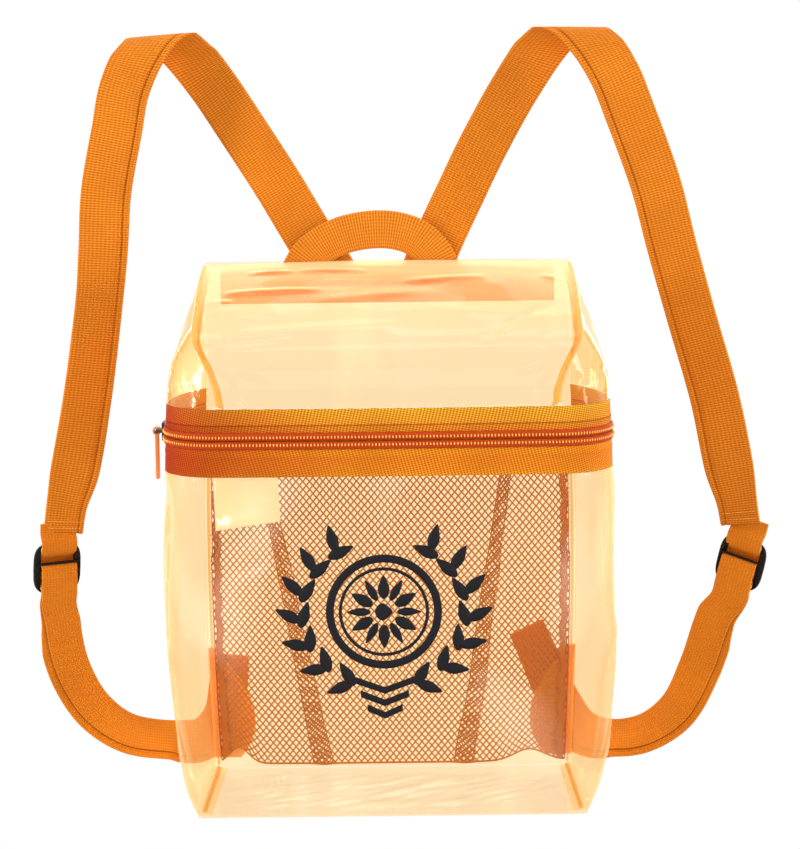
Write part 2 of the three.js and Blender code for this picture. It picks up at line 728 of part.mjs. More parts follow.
function placedGlide(rows) {
  const route = routeOf(rows, anchorDepth);
  const { place, along, width, face } = route.frame(glideDrop / route.length);
  const turn = new THREE.Matrix4().makeBasis(width, along, face).setPosition(place);
  return triGlide().applyMatrix4(turn);
}

// The three-cornered tab that carries the adjusting web's lower end, sewn in the back seam
function anchorTab() {
  const foot = bodyPoint(tabFoot, 1).x;
  const head = bodyPoint(tabFoot + tabHeight, 1).x;
  const grid = steps(6).map((up) => {
    const seam = -lerp(foot, head, up);
    const point = Math.sin(Math.PI * lerp(0.12, 0.97, up) ** 0.8) ** 0.8;
    const inner = seam + Math.max(3, tabReach * point);
    const height = tabFoot + tabHeight * up;
    return steps(3).map((s) => new THREE.Vector3(lerp(inner, seam, s), yokeDepth + webThick / 2, height));
  });
  return sheet(grid, webThick);
}

function welded(geometry) {
  const bare = geometry.clone();
  bare.deleteAttribute('normal');
  bare.deleteAttribute('uv');
  return mergeVertices(bare, 1e-4);
}

function toSolid(geometry) {
  const joined = welded(geometry);
  const mesh = new wasm.Mesh({
    numProp: 3,
    vertProperties: new Float32Array(joined.getAttribute('position').array),
    triVerts: new Uint32Array(joined.getIndex().array),
  });
  mesh.merge();
  return new wasm.Manifold(mesh);
}

function fromSolid(solid) {
  const mesh = solid.getMesh();
  const geometry = new THREE.BufferGeometry();
  geometry.setAttribute('position', new THREE.Float32BufferAttribute(mesh.vertProperties, 3));
  geometry.setIndex(new THREE.Uint32BufferAttribute(mesh.triVerts, 1));
  geometry.computeVertexNormals();
  return geometry;
}

// The slider sits on the closed coil of the left side, just behind where the body is widest
const sliderSeat = bodyPoint(zipMiddle, -cornerShare).x;
const sliderFace = sliderSeat - coilWall - 2 * seamGap - sliderPlate;
const sliderPlace = bodyPoint(zipMiddle, -sliderTurn).y;
const pinDepth = sliderFace - bridgeRise + bridgeWire / 2;

function zipSlider() {
  const corner = sliderWide * 0.3;
  const plate = new THREE.Shape();
  plate.moveTo(-sliderLong / 2 + corner, -sliderWide / 2);
  plate.lineTo(sliderLong / 2 - corner, -sliderWide / 2);
  plate.quadraticCurveTo(sliderLong / 2, -sliderWide / 2, sliderLong / 2, -sliderWide / 2 + corner);
  plate.lineTo(sliderLong / 2, sliderWide / 2 - corner);
  plate.quadraticCurveTo(sliderLong / 2, sliderWide / 2, sliderLong / 2 - corner, sliderWide / 2);
  plate.lineTo(-sliderLong / 2 + corner, sliderWide / 2);
  plate.quadraticCurveTo(-sliderLong / 2, sliderWide / 2, -sliderLong / 2, sliderWide / 2 - corner);
  plate.lineTo(-sliderLong / 2, -sliderWide / 2 + corner);
  plate.quadraticCurveTo(-sliderLong / 2, -sliderWide / 2, -sliderLong / 2 + corner, -sliderWide / 2);
  const base = new THREE.ExtrudeGeometry(plate, { depth: sliderPlate, bevelEnabled: false, curveSegments: 4 });
  base.rotateY(-Math.PI / 2).rotateX(Math.PI / 2);
  const arch = new THREE.Shape();
  const sunk = sliderPlate * 0.5;
  arch.moveTo(sunk, -bridgeLong / 2);
  arch.lineTo(-bridgeRise, -bridgeLong / 2);
  arch.lineTo(-bridgeRise, bridgeLong / 2);
  arch.lineTo(sunk, bridgeLong / 2);
  arch.lineTo(sunk, bridgeLong / 2 - bridgeWire);
  arch.lineTo(-bridgeRise + bridgeWire, bridgeLong / 2 - bridgeWire);
  arch.lineTo(-bridgeRise + bridgeWire, -bridgeLong / 2 + bridgeWire);
  arch.lineTo(sunk, -bridgeLong / 2 + bridgeWire);
  arch.closePath();
  const bridge = new THREE.ExtrudeGeometry(arch, { depth: bridgeWide, bevelEnabled: false });
  bridge.translate(0, 0, -bridgeWide / 2);
  base.computeBoundingBox();
  base.translate(-base.boundingBox.min.x, 0, -(base.boundingBox.min.z + base.boundingBox.max.z) / 2);
  const geometry = fromSolid(toSolid(base).add(toSolid(bridge)));
  return geometry.translate(sliderFace, sliderPlace, zipMiddle);
}

// The pull hangs from the slider's bridge by its eye
function zipPull() {
  const outer = pullEye + pullRim;
  const neck = Math.asin(pullThick / 2 / outer);
  const tip = pullThick / 2;
  const shape = new THREE.Shape();
  shape.absarc(0, 0, outer, -Math.PI / 2 + neck, 1.5 * Math.PI - neck, false);
  shape.lineTo(-tip, -pullLong + tip);
  shape.absarc(0, -pullLong + tip, tip, Math.PI, 2 * Math.PI, false);
  shape.closePath();
  const eye = new THREE.Path();
  eye.absarc(0, 0, pullEye, 0, 2 * Math.PI, true);
  shape.holes.push(eye);
  const geometry = new THREE.ExtrudeGeometry(shape, { depth: pullWide, bevelEnabled: false, curveSegments: 12 });
  geometry.translate(0, 0, -pullWide / 2);
  geometry.rotateX(Math.PI / 2);
  return welded(geometry).translate(pinDepth, sliderPlace, zipMiddle);
}

const film = { color: 0xf9dcae, roughness: 0.08, metalness: 0 };
const webbing = { color: 0xe27a1c, roughness: 0.85, metalness: 0 };
const tape = { color: 0xe88a34, roughness: 0.85, metalness: 0 };
const coil = { color: 0xd9641c, roughness: 0.5, metalness: 0 };
const netting = { color: 0xd98a3c, roughness: 0.8, metalness: 0 };
const paper = { color: 0xfde0b4, roughness: 0.7, metalness: 0 };
const plastic = { color: 0x261504, roughness: 0.35, metalness: 0 };
const enamel = { color: 0xd8661c, roughness: 0.4, metalness: 0.3 };

const group = new THREE.Group();
group.position.set(0, -hangDepth, -hangHeight);

function addPiece(name, geometry, look) {
  const mesh = new THREE.Mesh(geometry, new THREE.MeshStandardMaterial(look));
  mesh.name = name;
  group.add(mesh);
}

function addPair(name, leftGeometry, rightGeometry, look) {
  addPiece(`${name}_left`, leftGeometry, look);
  addPiece(`${name}_right`, rightGeometry, look);
}

function addMirroredPair(name, leftGeometry, look) {
  addPair(name, leftGeometry, mirrored(leftGeometry), look);
}

addPiece('bottom_panel', bottomPanel(), film);
addPiece('lower_shell', lowerShell(), film);
addPiece('back_panel', backPanel(), film);
addPiece('hood_panel', hoodPanel(), film);
addMirroredPair('hood_gusset', hoodGusset(), film);
addMirroredPair('hood_seam', hoodSeam(), film);
addMirroredPair('back_seam', backSeam(), film);
addPiece('zip_tape_upper', zipTape(zipMiddle + seamGap / 2, hoodBase - seamGap), tape);
addPiece('zip_tape_lower', zipTape(zipFoot, zipMiddle - seamGap / 2), tape);
addPiece('zip_coil_upper', zipCoil(zipMiddle + seamGap / 2, zipMiddle + coilHeight), coil);
addPiece('zip_coil_lower', zipCoil(zipMiddle - coilHeight, zipMiddle - seamGap / 2), coil);
addPiece('zip_slider', zipSlider(), enamel);
addPiece('zip_pull', zipPull(), enamel);
addPiece('net_pocket', netPocket(), netting);
addPiece('care_label', careLabel(), paper);
addPiece('yoke_band', yokeBand(), webbing);
addPiece('carry_handle', carryHandle(), webbing);
addPair('shoulder_strap', mirrored(shoulderStrap(leftStrap)), shoulderStrap(rightStrap), webbing);
addPair('adjuster_web', mirrored(adjusterWeb(leftWeb)), adjusterWeb(rightWeb), webbing);
addPair('tri_glide', mirrored(placedGlide(leftWeb)), placedGlide(rightWeb), plastic);
addMirroredPair('anchor_tab', anchorTab(), webbing);

export default group;
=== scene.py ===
# %% [markdown]
# # A clear film backpack, held up by its shoulder straps
#
# The bag is a boxy body of orange-tinted film with a zip band round its front and sides, a rounded film
# hood over the zip, a net pocket inside the back, and two webbing straps that stand up in loops.
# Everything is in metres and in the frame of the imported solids, so each piece goes where its solid is.
# Film is the hard part: it shows nothing of itself but its tint, its gloss and its folds, so each panel
# is a fine sheet with real dents, and the light is arranged so that those dents have something to mirror.

import json
import math
import random

import bmesh
import bpy
from mathutils import Matrix, Vector, noise

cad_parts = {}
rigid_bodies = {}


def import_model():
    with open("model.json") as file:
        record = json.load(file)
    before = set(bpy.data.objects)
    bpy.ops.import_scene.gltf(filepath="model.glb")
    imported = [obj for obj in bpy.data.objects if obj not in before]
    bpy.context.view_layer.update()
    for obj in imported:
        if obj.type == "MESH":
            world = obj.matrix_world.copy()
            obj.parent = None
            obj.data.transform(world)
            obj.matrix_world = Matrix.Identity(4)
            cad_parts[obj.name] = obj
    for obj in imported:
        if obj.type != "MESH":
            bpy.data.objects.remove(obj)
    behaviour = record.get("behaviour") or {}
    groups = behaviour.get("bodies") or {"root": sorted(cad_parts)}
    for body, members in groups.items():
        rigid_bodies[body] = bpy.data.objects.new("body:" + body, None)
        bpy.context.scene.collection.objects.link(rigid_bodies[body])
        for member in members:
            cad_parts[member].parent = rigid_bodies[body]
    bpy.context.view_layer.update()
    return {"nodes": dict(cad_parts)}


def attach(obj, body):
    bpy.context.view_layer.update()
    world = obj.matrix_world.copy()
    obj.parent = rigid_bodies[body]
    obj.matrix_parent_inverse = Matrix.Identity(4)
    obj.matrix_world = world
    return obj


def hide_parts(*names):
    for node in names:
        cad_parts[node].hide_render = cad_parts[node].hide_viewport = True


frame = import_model()
scene = bpy.context.scene

# %% [markdown]
# ## Camera
#
# The camera stands where the photograph's outlines of bottom, zip and roof meet their real places:
# 1.4 m in front of the bag, a little higher than its hood, looking down by 7.8 degrees. A long lens keeps
# the bag's sides nearly parallel. The small roll is the photograph's own.

# %% Camera
LENS, SENSOR = 96.76, 36  # millimetres
CAMERA_PLACE = (0.0073, -1.503, -0.053)  # metres
LOOKING_DOWN, ROLL = 7.82, -0.67  # degrees
camera = bpy.data.objects.new("camera", bpy.data.cameras.new("camera"))
scene.collection.objects.link(camera)
scene.camera = camera
camera.data.lens, camera.data.sensor_width = LENS, SENSOR
pitch = Matrix.Rotation(math.radians(90 - LOOKING_DOWN), 4, "X")
roll = Matrix.Rotation(math.radians(ROLL), 4, "Z")
camera.matrix_world = Matrix.Translation(CAMERA_PLACE) @ pitch @ roll
print("camera at", [round(c, 3) for c in camera.matrix_world.translation])

# %% [markdown]
# ## The plan of the body
#
# The solids were shaped by a few tables: how wide, how deep and how round the body is at each height.
# The same tables are used here, so that a fine sheet lies exactly where the coarse solid does.
# Sizes are in millimetres, from the middle of the bag's base. `to_row` turns them into the frame's metres.

# %% Sizes and tables
BASE_WIDTH, BODY_WIDTH, BODY_DEPTH, BODY_HEIGHT = 244, 287, 112, 344
HOOD_BASE, ZIP_MIDDLE, ZIP_FOOT = 261, 241, 218.5
BACK_INNER, BACK_OUTER = 56, 57
FRONT_SWELL, FRONT_CROWN = 4, 2
ROOF_WIDTH, ROOF_FRONT_WIDTH, ROOF_CROWN, GUSSET_SWELL = 239, 209, 2.5, 5.5
FLAT_SHARE, CORNER_SHARE = 0.40, 0.66
GAP = 0.3
SIDES = (("left", -1), ("right", 1))
FILM_FOOT, FILM_WALL = 1.3, 0.5  # where the upright film starts, and how thick a sheet is drawn
HANG_HEIGHT, HANG_DEPTH = 494, 57

# rise, bow, flat, corner, swell, back
BODY_LEVELS = [
    (0.00, 0.00, 0.488, 0.03, 0.00, 0.00),
    (0.065, 0.40, 0.464, 0.12, 0.20, 0.04),
    (0.15, 0.68, 0.443, 0.22, 0.50, 0.08),
    (0.28, 0.86, 0.430, 0.30, 0.85, 0.13),
    (0.39, 0.98, 0.428, 0.33, 1.00, 0.16),
    (0.52, 1.00, 0.427, 0.35, 1.00, 0.18),
    (0.70, 0.97, 0.427, 0.36, 0.80, 0.17),
    (0.84, 0.92, 0.428, 0.36, 0.60, 0.12),
    (1.00, 0.84, 0.430, 0.36, 0.45, 0.04),
]
# run, rise, depth, width
ROOF_LEVELS = [
    (0.00, 0.000, -0.516, 0.00),
    (0.12, 0.160, -0.502, 0.14),
    (0.24, 0.330, -0.466, 0.50),
    (0.36, 0.495, -0.380, 0.98),
    (0.48, 0.635, -0.240, 1.00),
    (0.62, 0.775, -0.050, 1.00),
    (0.76, 0.885, 0.150, 1.00),
    (0.89, 0.960, 0.340, 1.00),
    (1.00, 1.000, 0.497, 0.995),
]


def to_row(place):
    """A place in millimetres from the base, in the frame's metres."""
    return Vector((place[0], place[1] - HANG_DEPTH, place[2] - HANG_HEIGHT)) / 1000


def lerp(a, b, t):
    return a + (b - a) * t


def between(rows, at):
    """Smooth values between the rows of a table whose first column is the key."""
    last = len(rows) - 1
    i = 0
    while i < last - 1 and at > rows[i + 1][0]:
        i += 1
    a, b = rows[i], rows[i + 1]
    before, after = rows[max(0, i - 1)], rows[min(last, i + 2)]
    span = b[0] - a[0]
    t = min(1, max(0, (at - a[0]) / span))
    values = []
    for k in range(1, len(a)):
        leave = (b[k] - before[k]) / (b[0] - before[0]) * span
        reach = (after[k] - a[k]) / (after[0] - a[0]) * span
        t2, t3 = t * t, t * t * t
        values.append(
            (2 * t3 - 3 * t2 + 1) * a[k] + (t3 - 2 * t2 + t) * leave + (3 * t2 - 2 * t3) * b[k] + (t3 - t2) * reach
        )
    return values


def body_point(height, turn):
    """A point of the body's outer face. Turn runs from -1 at the left back edge over 0 to 1 at the right one."""
    bow, flat, corner, swell, back = between(BODY_LEVELS, height / HOOD_BASE)
    side, t = math.copysign(1, turn), abs(turn)
    spread = (BODY_WIDTH - BASE_WIDTH) / 2
    half = BASE_WIDTH / 2 + spread * bow
    flat, corner = BASE_WIDTH * flat, BODY_DEPTH * corner
    back_half = BASE_WIDTH / 2 + spread * back - 1.5
    front = -BODY_DEPTH / 2 - FRONT_SWELL * swell
    crown = FRONT_CROWN * min(1, 4 * height / HOOD_BASE)
    if t < FLAT_SHARE:
        s = t / FLAT_SHARE
        return Vector((side * flat * s, front - crown * (1 - s * s), height))
    if t < CORNER_SHARE:
        angle = (t - FLAT_SHARE) / (CORNER_SHARE - FLAT_SHARE) * math.pi / 2
        across = flat + (half - flat) * math.sin(angle)
        return Vector((side * across, front + corner * (1 - math.cos(angle)), height))
    q = (t - CORNER_SHARE) / (1 - CORNER_SHARE)
    across = back_half + (half - back_half) * (1 - q * q)
    return Vector((side * across, lerp(front + corner, BACK_INNER - GAP, q), height))


def roof_edge(run):
    """The right edge of the hood's top panel, from the zip (0) up over the roof to the back (1)."""
    rise, depth, width = between(ROOF_LEVELS, run)
    height = lerp(HOOD_BASE + GAP, BODY_HEIGHT - ROOF_CROWN, rise)
    return Vector((lerp(ROOF_FRONT_WIDTH, ROOF_WIDTH, width) / 2, BODY_DEPTH * depth, height))


print("widest half of the body:", round(max(body_point(h, 0.66).x for h in range(20, 220)), 1), "mm")

# %% [markdown]
# ## Making and finishing a piece
#
# Most pieces of a bag are sheets and bands, so one helper makes a flat grid and lays it on a surface that
# a function gives. The grid keeps its flat size as a UV map in metres, which the weaves follow later.
# `keep` turns a mesh into an object, hides the solid it stands for and lets it ride on its body.

# %% Helpers for pieces
def keep(bm, name, material, body="bag", replaces=(), smooth=True):
    mesh = bpy.data.meshes.new(name)
    bm.to_mesh(mesh)
    bm.free()
    piece = bpy.data.objects.new(name, mesh)
    scene.collection.objects.link(piece)
    mesh.materials.append(material)
    for face in mesh.polygons:
        face.use_smooth = smooth
    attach(piece, body)
    if replaces:
        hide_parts(*replaces)
    return piece


def laid_grid(columns, rows, place, flat, relief=None):
    """A grid laid on place(s, t), millimetres, then pushed out along its normals by relief(s, t)."""
    bm = bmesh.new()
    cloth = bm.loops.layers.uv.new("cloth")
    bmesh.ops.create_grid(bm, x_segments=columns, y_segments=rows, size=0.5)
    spots = {vert: (vert.co.x + 0.5, vert.co.y + 0.5) for vert in bm.verts}
    for face in bm.faces:
        for loop in face.loops:
            s, t = spots[loop.vert]
            loop[cloth].uv = (s * flat[0] / 1000, t * flat[1] / 1000)
    for vert, (s, t) in spots.items():
        vert.co = to_row(place(s, t))
    bm.normal_update()
    if relief:
        pushes = {vert: vert.normal * relief(*spot) / 1000 for vert, spot in spots.items()}
        for vert, push in pushes.items():
            vert.co += push
    return bm


def walled(piece, wall, offset=-1):
    """Gives a sheet its wall, in millimetres, inwards from the grid."""
    solidify = piece.modifiers.new("wall", "SOLIDIFY")
    solidify.thickness = wall / 1000
    solidify.offset = offset
    solidify.use_even_offset = False
    return piece


def ripple(seed, x, y, z=0.0):
    """Smooth noise from -1 to 1 that is the same in each run."""
    return noise.noise(Vector((x, y, z + 17.3 * seed)))


def fold(x, y, line):
    """Height of a fold along a line (x0, y0, x1, y1, half width, height), fading to its ends."""
    x0, y0, x1, y1, wide, high = line
    along = Vector((x1 - x0, y1 - y0))
    reach = along.length
    t = min(1, max(0, (Vector((x - x0, y - y0)).dot(along)) / reach**2))
    away = (Vector((x, y)) - Vector((x0, y0)) - along * t).length
    return high * math.exp(-((away / wide) ** 2)) * math.sin(math.pi * min(1, 0.12 + 0.88 * t)) ** 0.6


# %% [markdown]
# ## Node helpers
#
# Every finish is made of nodes. Two short helpers keep the recipes readable: one clears a new
# material, the other adds a node, sets what is a number or a colour and links what is a socket.

# %% Helpers for materials
def empty_material(name):
    made = bpy.data.materials.new(name)
    made.use_nodes = True
    made.node_tree.nodes.clear()
    return made, made.node_tree


def node(tree, kind, sockets=None, **settings):
    made = tree.nodes.new("ShaderNode" + kind)
    for key, value in settings.items():
        setattr(made, key, value)
    for key, value in (sockets or {}).items():
        if hasattr(value, "is_output"):
            tree.links.new(value, made.inputs[key])
        else:
            made.inputs[key].default_value = value
    return made


def calc(tree, operation, *values):
    """A Math node's output."""
    return node(tree, "Math", dict(enumerate(values)), operation=operation).outputs[0]


def blend(tree, share, first, second, how="MIX"):
    """A colour between two."""
    return node(tree, "MixRGB", {"Fac": share, "Color1": first, "Color2": second}, blend_type=how).outputs[0]


def close(tree, shader):
    node(tree, "OutputMaterial", {"Surface": shader})


# %% [markdown]
# ## Film
#
# The panels are soft PVC about half a millimetre thick: clear, tinted orange and glossy. Glass that bends
# light would be slow and far too strong for a sheet this thin, so the light goes straight through and
# only takes the tint, deeper where the sheet is seen along its face and the way through it is longer.
# The gloss grows towards the rims in the same way, and so does a glow, because dyed film scatters a part of
# the light that travels along inside it. Noise makes the gloss waver and leaves a faint haze of rubbing, as
# on film that has been folded and packed. Broad soft glares, taller than wide, are patches of extra gloss
# set by noise, as where such a sheet bends a little towards a light.

# %% Film materials
FACE_ON_MIRROR = 0.012
VEIL_TINT = (1.0, 0.86, 0.46, 1)
CLEAR_TINT = (1.0, 0.935, 0.815, 1)


def film_material(name, tint, deep, haze=0.012, shine=0.05, glow=0.20, rims=0.30, glares=0.0):
    """Film: tint face on, deep edge on; haze from rubbing, glow and rims grow edge on, glares are soft patches."""
    made, tree = empty_material(name)
    spot = node(tree, "TexCoord").outputs["Object"]
    waves = node(tree, "TexNoise", {"Vector": spot, "Scale": 26.0, "Detail": 2.0}).outputs["Fac"]
    bump = node(tree, "Bump", {"Height": waves, "Strength": 0.25, "Distance": 0.003}).outputs[0]
    facing = node(tree, "LayerWeight", {"Blend": 0.5}).outputs["Facing"]
    rim = calc(tree, "POWER", facing, 4.0)
    mirror = calc(tree, "MULTIPLY_ADD", rim, rims, FACE_ON_MIRROR)
    longer = calc(tree, "POWER", facing, 2.5)
    clear = node(tree, "BsdfTransparent", {"Color": blend(tree, longer, tint, deep)}).outputs[0]
    gloss = node(tree, "BsdfGlossy", {"Color": (1, 1, 1, 1), "Roughness": shine, "Normal": bump}).outputs[0]
    sheet = node(tree, "MixShader", {0: mirror, 1: clear, 2: gloss}).outputs[0]
    tall = node(tree, "Mapping", {"Vector": spot, "Scale": (1.0, 1.0, 0.45)}).outputs[0]
    bends = node(tree, "TexNoise", {"Vector": tall, "Scale": 15.0, "Detail": 1.5, "Distortion": 0.6}).outputs["Fac"]
    spread = {"Value": bends, "From Min": 0.53, "From Max": 0.66, "To Min": 0.0, "To Max": glares}
    patch = node(tree, "MapRange", spread).outputs[0]
    glare = node(tree, "BsdfGlossy", {"Color": patch, "Roughness": 0.22, "Normal": bump}).outputs[0]
    sheet = node(tree, "AddShader", {0: sheet, 1: glare}).outputs[0]
    rubbed = node(tree, "TexNoise", {"Vector": spot, "Scale": 9.0, "Detail": 6.0, "Roughness": 0.7}).outputs["Fac"]
    rubs = calc(tree, "MULTIPLY", calc(tree, "POWER", rubbed, 2.0), haze * 2)
    cloudy = calc(tree, "MULTIPLY_ADD", longer, glow, rubs)
    veil = node(tree, "BsdfDiffuse", {"Color": VEIL_TINT}).outputs[0]
    close(tree, node(tree, "MixShader", {0: cloudy, 1: sheet, 2: veil}).outputs[0])
    return made


film = film_material("orange_film", CLEAR_TINT, (1.0, 0.90, 0.76, 1), glow=0.34, rims=0.25, glares=0.055)
film_roof = film_material("orange_film_hood", CLEAR_TINT, (1.0, 0.86, 0.64, 1), glow=0.9, rims=0.16, glares=0.01)
film_low = film_material("orange_film_bottom", (1.0, 0.985, 0.965, 1), (1.0, 0.91, 0.74, 1), glow=0.1)
film_side = film_material("orange_film_side", (1.0, 0.915, 0.76, 1), (1.0, 0.80, 0.46, 1), rims=0.7, glares=0.11)
film_doubled = film_material(
    "orange_film_doubled", (0.99, 0.79, 0.43, 1), (0.96, 0.62, 0.20, 1), haze=0.15, shine=0.15, glow=0.3
)
film_hem = film_material("orange_film_hem", (1.0, 0.965, 0.86, 1), (1.0, 0.93, 0.78, 1), haze=0.06, shine=0.12)

# %% [markdown]
# ## Webbing, tape, net and the hard parts
#
# Webbing and zip tape are woven, so their pattern follows the UV map that was laid flat in metres: two
# crossed waves stand for the ribs, and they drive both the bump and painted shade in the hollows between
# the threads. Noise patches add painted shade, as of soft bends. A tape also has bands of painted shade
# across it, where a fold or the coil shades it, and painted highlight along its outer edge. Painted shade
# makes it darker round the bag's left corner.

# %% Woven and hard materials
# Painted shade: where a tape is darkened near its left end, round the bag's left corner.
END_SHADE_BEGIN, END_SHADE_FADE = (0.060, 0.072), (0.092, 0.20)  # metres along a tape, from its left end


def woven_material(name, light, hollow_shade, checks, ribs=(0.3, 0.7), turned=0.0, contrast=0.8, painted_light_bands=None, painted_end_shade=None):
    """Cloth with ribs: checks is half the pitch and ribs the strength, each (across, along), in millimetres."""
    made, tree = empty_material(name)
    flat = node(tree, "UVMap", uv_map="cloth").outputs[0]
    laid = node(tree, "Mapping", {"Vector": flat, "Rotation": (0, 0, turned), "Scale": (1000, 1000, 1000)}).outputs[0]
    spot = node(tree, "TexCoord").outputs["Object"]
    uneven = node(tree, "TexNoise", {"Vector": spot, "Scale": 70.0, "Detail": 2.0}).outputs["Fac"]
    sway = calc(tree, "MULTIPLY", uneven, 2.4)
    axes = node(tree, "SeparateXYZ", {0: laid}).outputs
    across = calc(tree, "SINE", calc(tree, "MULTIPLY_ADD", axes[0], math.pi / checks[0], sway))
    along = calc(tree, "SINE", calc(tree, "MULTIPLY_ADD", axes[1], math.pi / checks[1], sway))
    woven = calc(tree, "MULTIPLY_ADD", along, ribs[1], calc(tree, "MULTIPLY", across, ribs[0]))
    over = calc(tree, "MULTIPLY_ADD", woven, 0.5, 0.5)
    # Painted shade: noise patches darken the cloth a little, for the shade of soft bends and folds.
    cloud = node(tree, "TexNoise", {"Vector": spot, "Scale": 24.0, "Detail": 5.0}).outputs["Fac"]
    patches = node(tree, "MapRange", {"Value": cloud, "From Min": 0.35, "From Max": 0.65}).outputs[0]
    fuzz = node(tree, "TexNoise", {"Vector": spot, "Scale": 1500.0, "Detail": 2.0}).outputs["Fac"]
    patch_shade = blend(tree, calc(tree, "MULTIPLY", patches, 0.45), light, tuple(c * 0.62 for c in light[:3]) + (1,))
    # Painted shade: the sunk parts between the threads are blended towards a darker colour, for the shade in the
    # weave's hollows.
    hollow_shade_share = calc(tree, "MULTIPLY", calc(tree, "SUBTRACT", 1.0, over), contrast)
    colour = blend(tree, calc(tree, "MULTIPLY_ADD", fuzz, 0.12, hollow_shade_share), patch_shade, hollow_shade)
    # Painted light across the tape: bands multiply its colour, as painted shade where a fold or the coil shades it
    # and as painted highlight along its outer edge.
    if painted_light_bands:
        rows = node(tree, "SeparateXYZ", {0: flat}).outputs[1]
        ramp = node(tree, "ValToRGB", {"Fac": calc(tree, "MULTIPLY", rows, 1000 / painted_light_bands[-1][0])})
        while len(ramp.color_ramp.elements) < len(painted_light_bands):
            ramp.color_ramp.elements.new(0.5)
        for stop, (place, shade) in zip(ramp.color_ramp.elements, painted_light_bands):
            stop.position = place / painted_light_bands[-1][0]
            stop.color = (*shade, 1)
        colour = blend(tree, 1.0, colour, ramp.outputs["Color"], "MULTIPLY")
    # Painted shade: the tape's colour is multiplied darker near its left end, round the bag's left corner.
    if painted_end_shade:
        start = node(tree, "SeparateXYZ", {0: flat}).outputs[0]
        fading = {"Value": start, "From Min": END_SHADE_FADE[0], "From Max": END_SHADE_FADE[1], "To Min": 1.0, "To Max": 0.0}
        fade = node(tree, "MapRange", fading).outputs[0]
        beginning = {"Value": start, "From Min": END_SHADE_BEGIN[0], "From Max": END_SHADE_BEGIN[1]}
        begin = node(tree, "MapRange", beginning).outputs[0]
        share = calc(tree, "MULTIPLY", fade, begin)
        colour = blend(tree, share, colour, blend(tree, 1.0, colour, painted_end_shade, "MULTIPLY"))
    height = calc(tree, "MULTIPLY_ADD", fuzz, 0.2, over)
    bump = node(tree, "Bump", {"Height": height, "Strength": 0.5, "Distance": 0.0005}).outputs[0]
    skin = node(
        tree,
        "BsdfPrincipled",
        {"Base Color": colour, "Roughness": 0.8, "Sheen Weight": 0.08, "Sheen Roughness": 0.4,
         "Sheen Tint": (1.0, 0.6, 0.25, 1), "Specular IOR Level": 0.12, "Normal": bump},
    )
    close(tree, skin.outputs[0])
    return made


def moulded_material(name, colour, rough, grain=900.0, metal=0.0, coat=0.0, shine=0.5):
    made, tree = empty_material(name)
    spot = node(tree, "TexCoord").outputs["Object"]
    cloud = node(tree, "TexNoise", {"Vector": spot, "Scale": 120.0, "Detail": 5.0}).outputs["Fac"]
    fine = node(tree, "TexNoise", {"Vector": spot, "Scale": grain, "Detail": 2.0}).outputs["Fac"]
    worn = tuple(min(1, c * 1.35 + 0.01) for c in colour[:3]) + (1,)
    skin = node(
        tree,
        "BsdfPrincipled",
        {"Base Color": blend(tree, calc(tree, "MULTIPLY", cloud, 0.4), colour, worn),
         "Specular IOR Level": shine,
         "Roughness": calc(tree, "MULTIPLY_ADD", cloud, 0.25, rough - 0.12),
         "Metallic": metal, "Coat Weight": coat,
         "Normal": node(tree, "Bump", {"Height": fine, "Strength": 0.25, "Distance": 0.0002}).outputs[0]},
    )
    close(tree, skin.outputs[0])
    return made


strap_cloth = woven_material(
    "strap_webbing", (0.90, 0.30, 0.020, 1), (0.44, 0.085, 0.002, 1), (1.3, 0.80), contrast=0.9
)
web_cloth = woven_material(
    "adjuster_webbing", (0.82, 0.26, 0.018, 1), (0.50, 0.115, 0.003, 1), (1.05, 0.8), ribs=(0.4, 0.35), contrast=0.7
)
handle_cloth = woven_material(
    "handle_webbing", (0.94, 0.34, 0.03, 1), (0.50, 0.11, 0.004, 1), (1.1, 0.85), contrast=1.0
)
tab_cloth = woven_material("tab_fabric", (1.0, 0.50, 0.035, 1), (0.90, 0.34, 0.01, 1), (1.2, 1.2), contrast=0.6)
yoke_cloth = woven_material("yoke_webbing", (1.0, 0.42, 0.06, 1), (0.85, 0.28, 0.03, 1), (1.1, 0.85), contrast=0.8)
# Millimetres up the tape, and what its colour is multiplied by there: painted shade below one, painted highlight
# above one
upper_tape_painted_light = [
    (0.0, (0.80, 0.55, 0.50)), (5.0, (0.86, 0.66, 0.6)), (8.8, (0.92, 0.78, 0.7)), (9.5, (0.50, 0.25, 0.2)),
    (10.3, (1.0, 0.95, 0.9)), (17.5, (1.0, 1.15, 1.0)), (20.0, (1.0, 1.35, 1.2)),
]
upper_tape_cloth = woven_material(
    "upper_zip_tape", (1.0, 0.50, 0.035, 1), (0.44, 0.07, 0.001, 1), (0.84, 0.68), ribs=(0.55, 0.5),
    turned=0.22, contrast=1.0, painted_light_bands=upper_tape_painted_light, painted_end_shade=(0.62, 0.15, 0.2, 1),
)
lower_tape_painted_light = [
    (0.0, (1.0, 1.25, 1.1)), (2.5, (0.95, 0.95, 0.9)), (12.0, (0.95, 0.85, 0.8)), (14.0, (0.97, 1.0, 0.9)),
    (16.5, (1.0, 1.05, 0.9)), (18.0, (0.70, 0.40, 0.35)), (22.5, (0.70, 0.40, 0.35)),
]
lower_tape_cloth = woven_material(
    "lower_zip_tape", (1.0, 0.37, 0.018, 1), (0.46, 0.075, 0.001, 1), (0.84, 0.68), ribs=(0.55, 0.5),
    turned=-0.24, contrast=1.0, painted_light_bands=lower_tape_painted_light, painted_end_shade=(0.62, 0.16, 0.2, 1),
)
net_thread = moulded_material("net_thread", (0.45, 0.14, 0.0, 1), 0.8, grain=2500.0, shine=0.05)
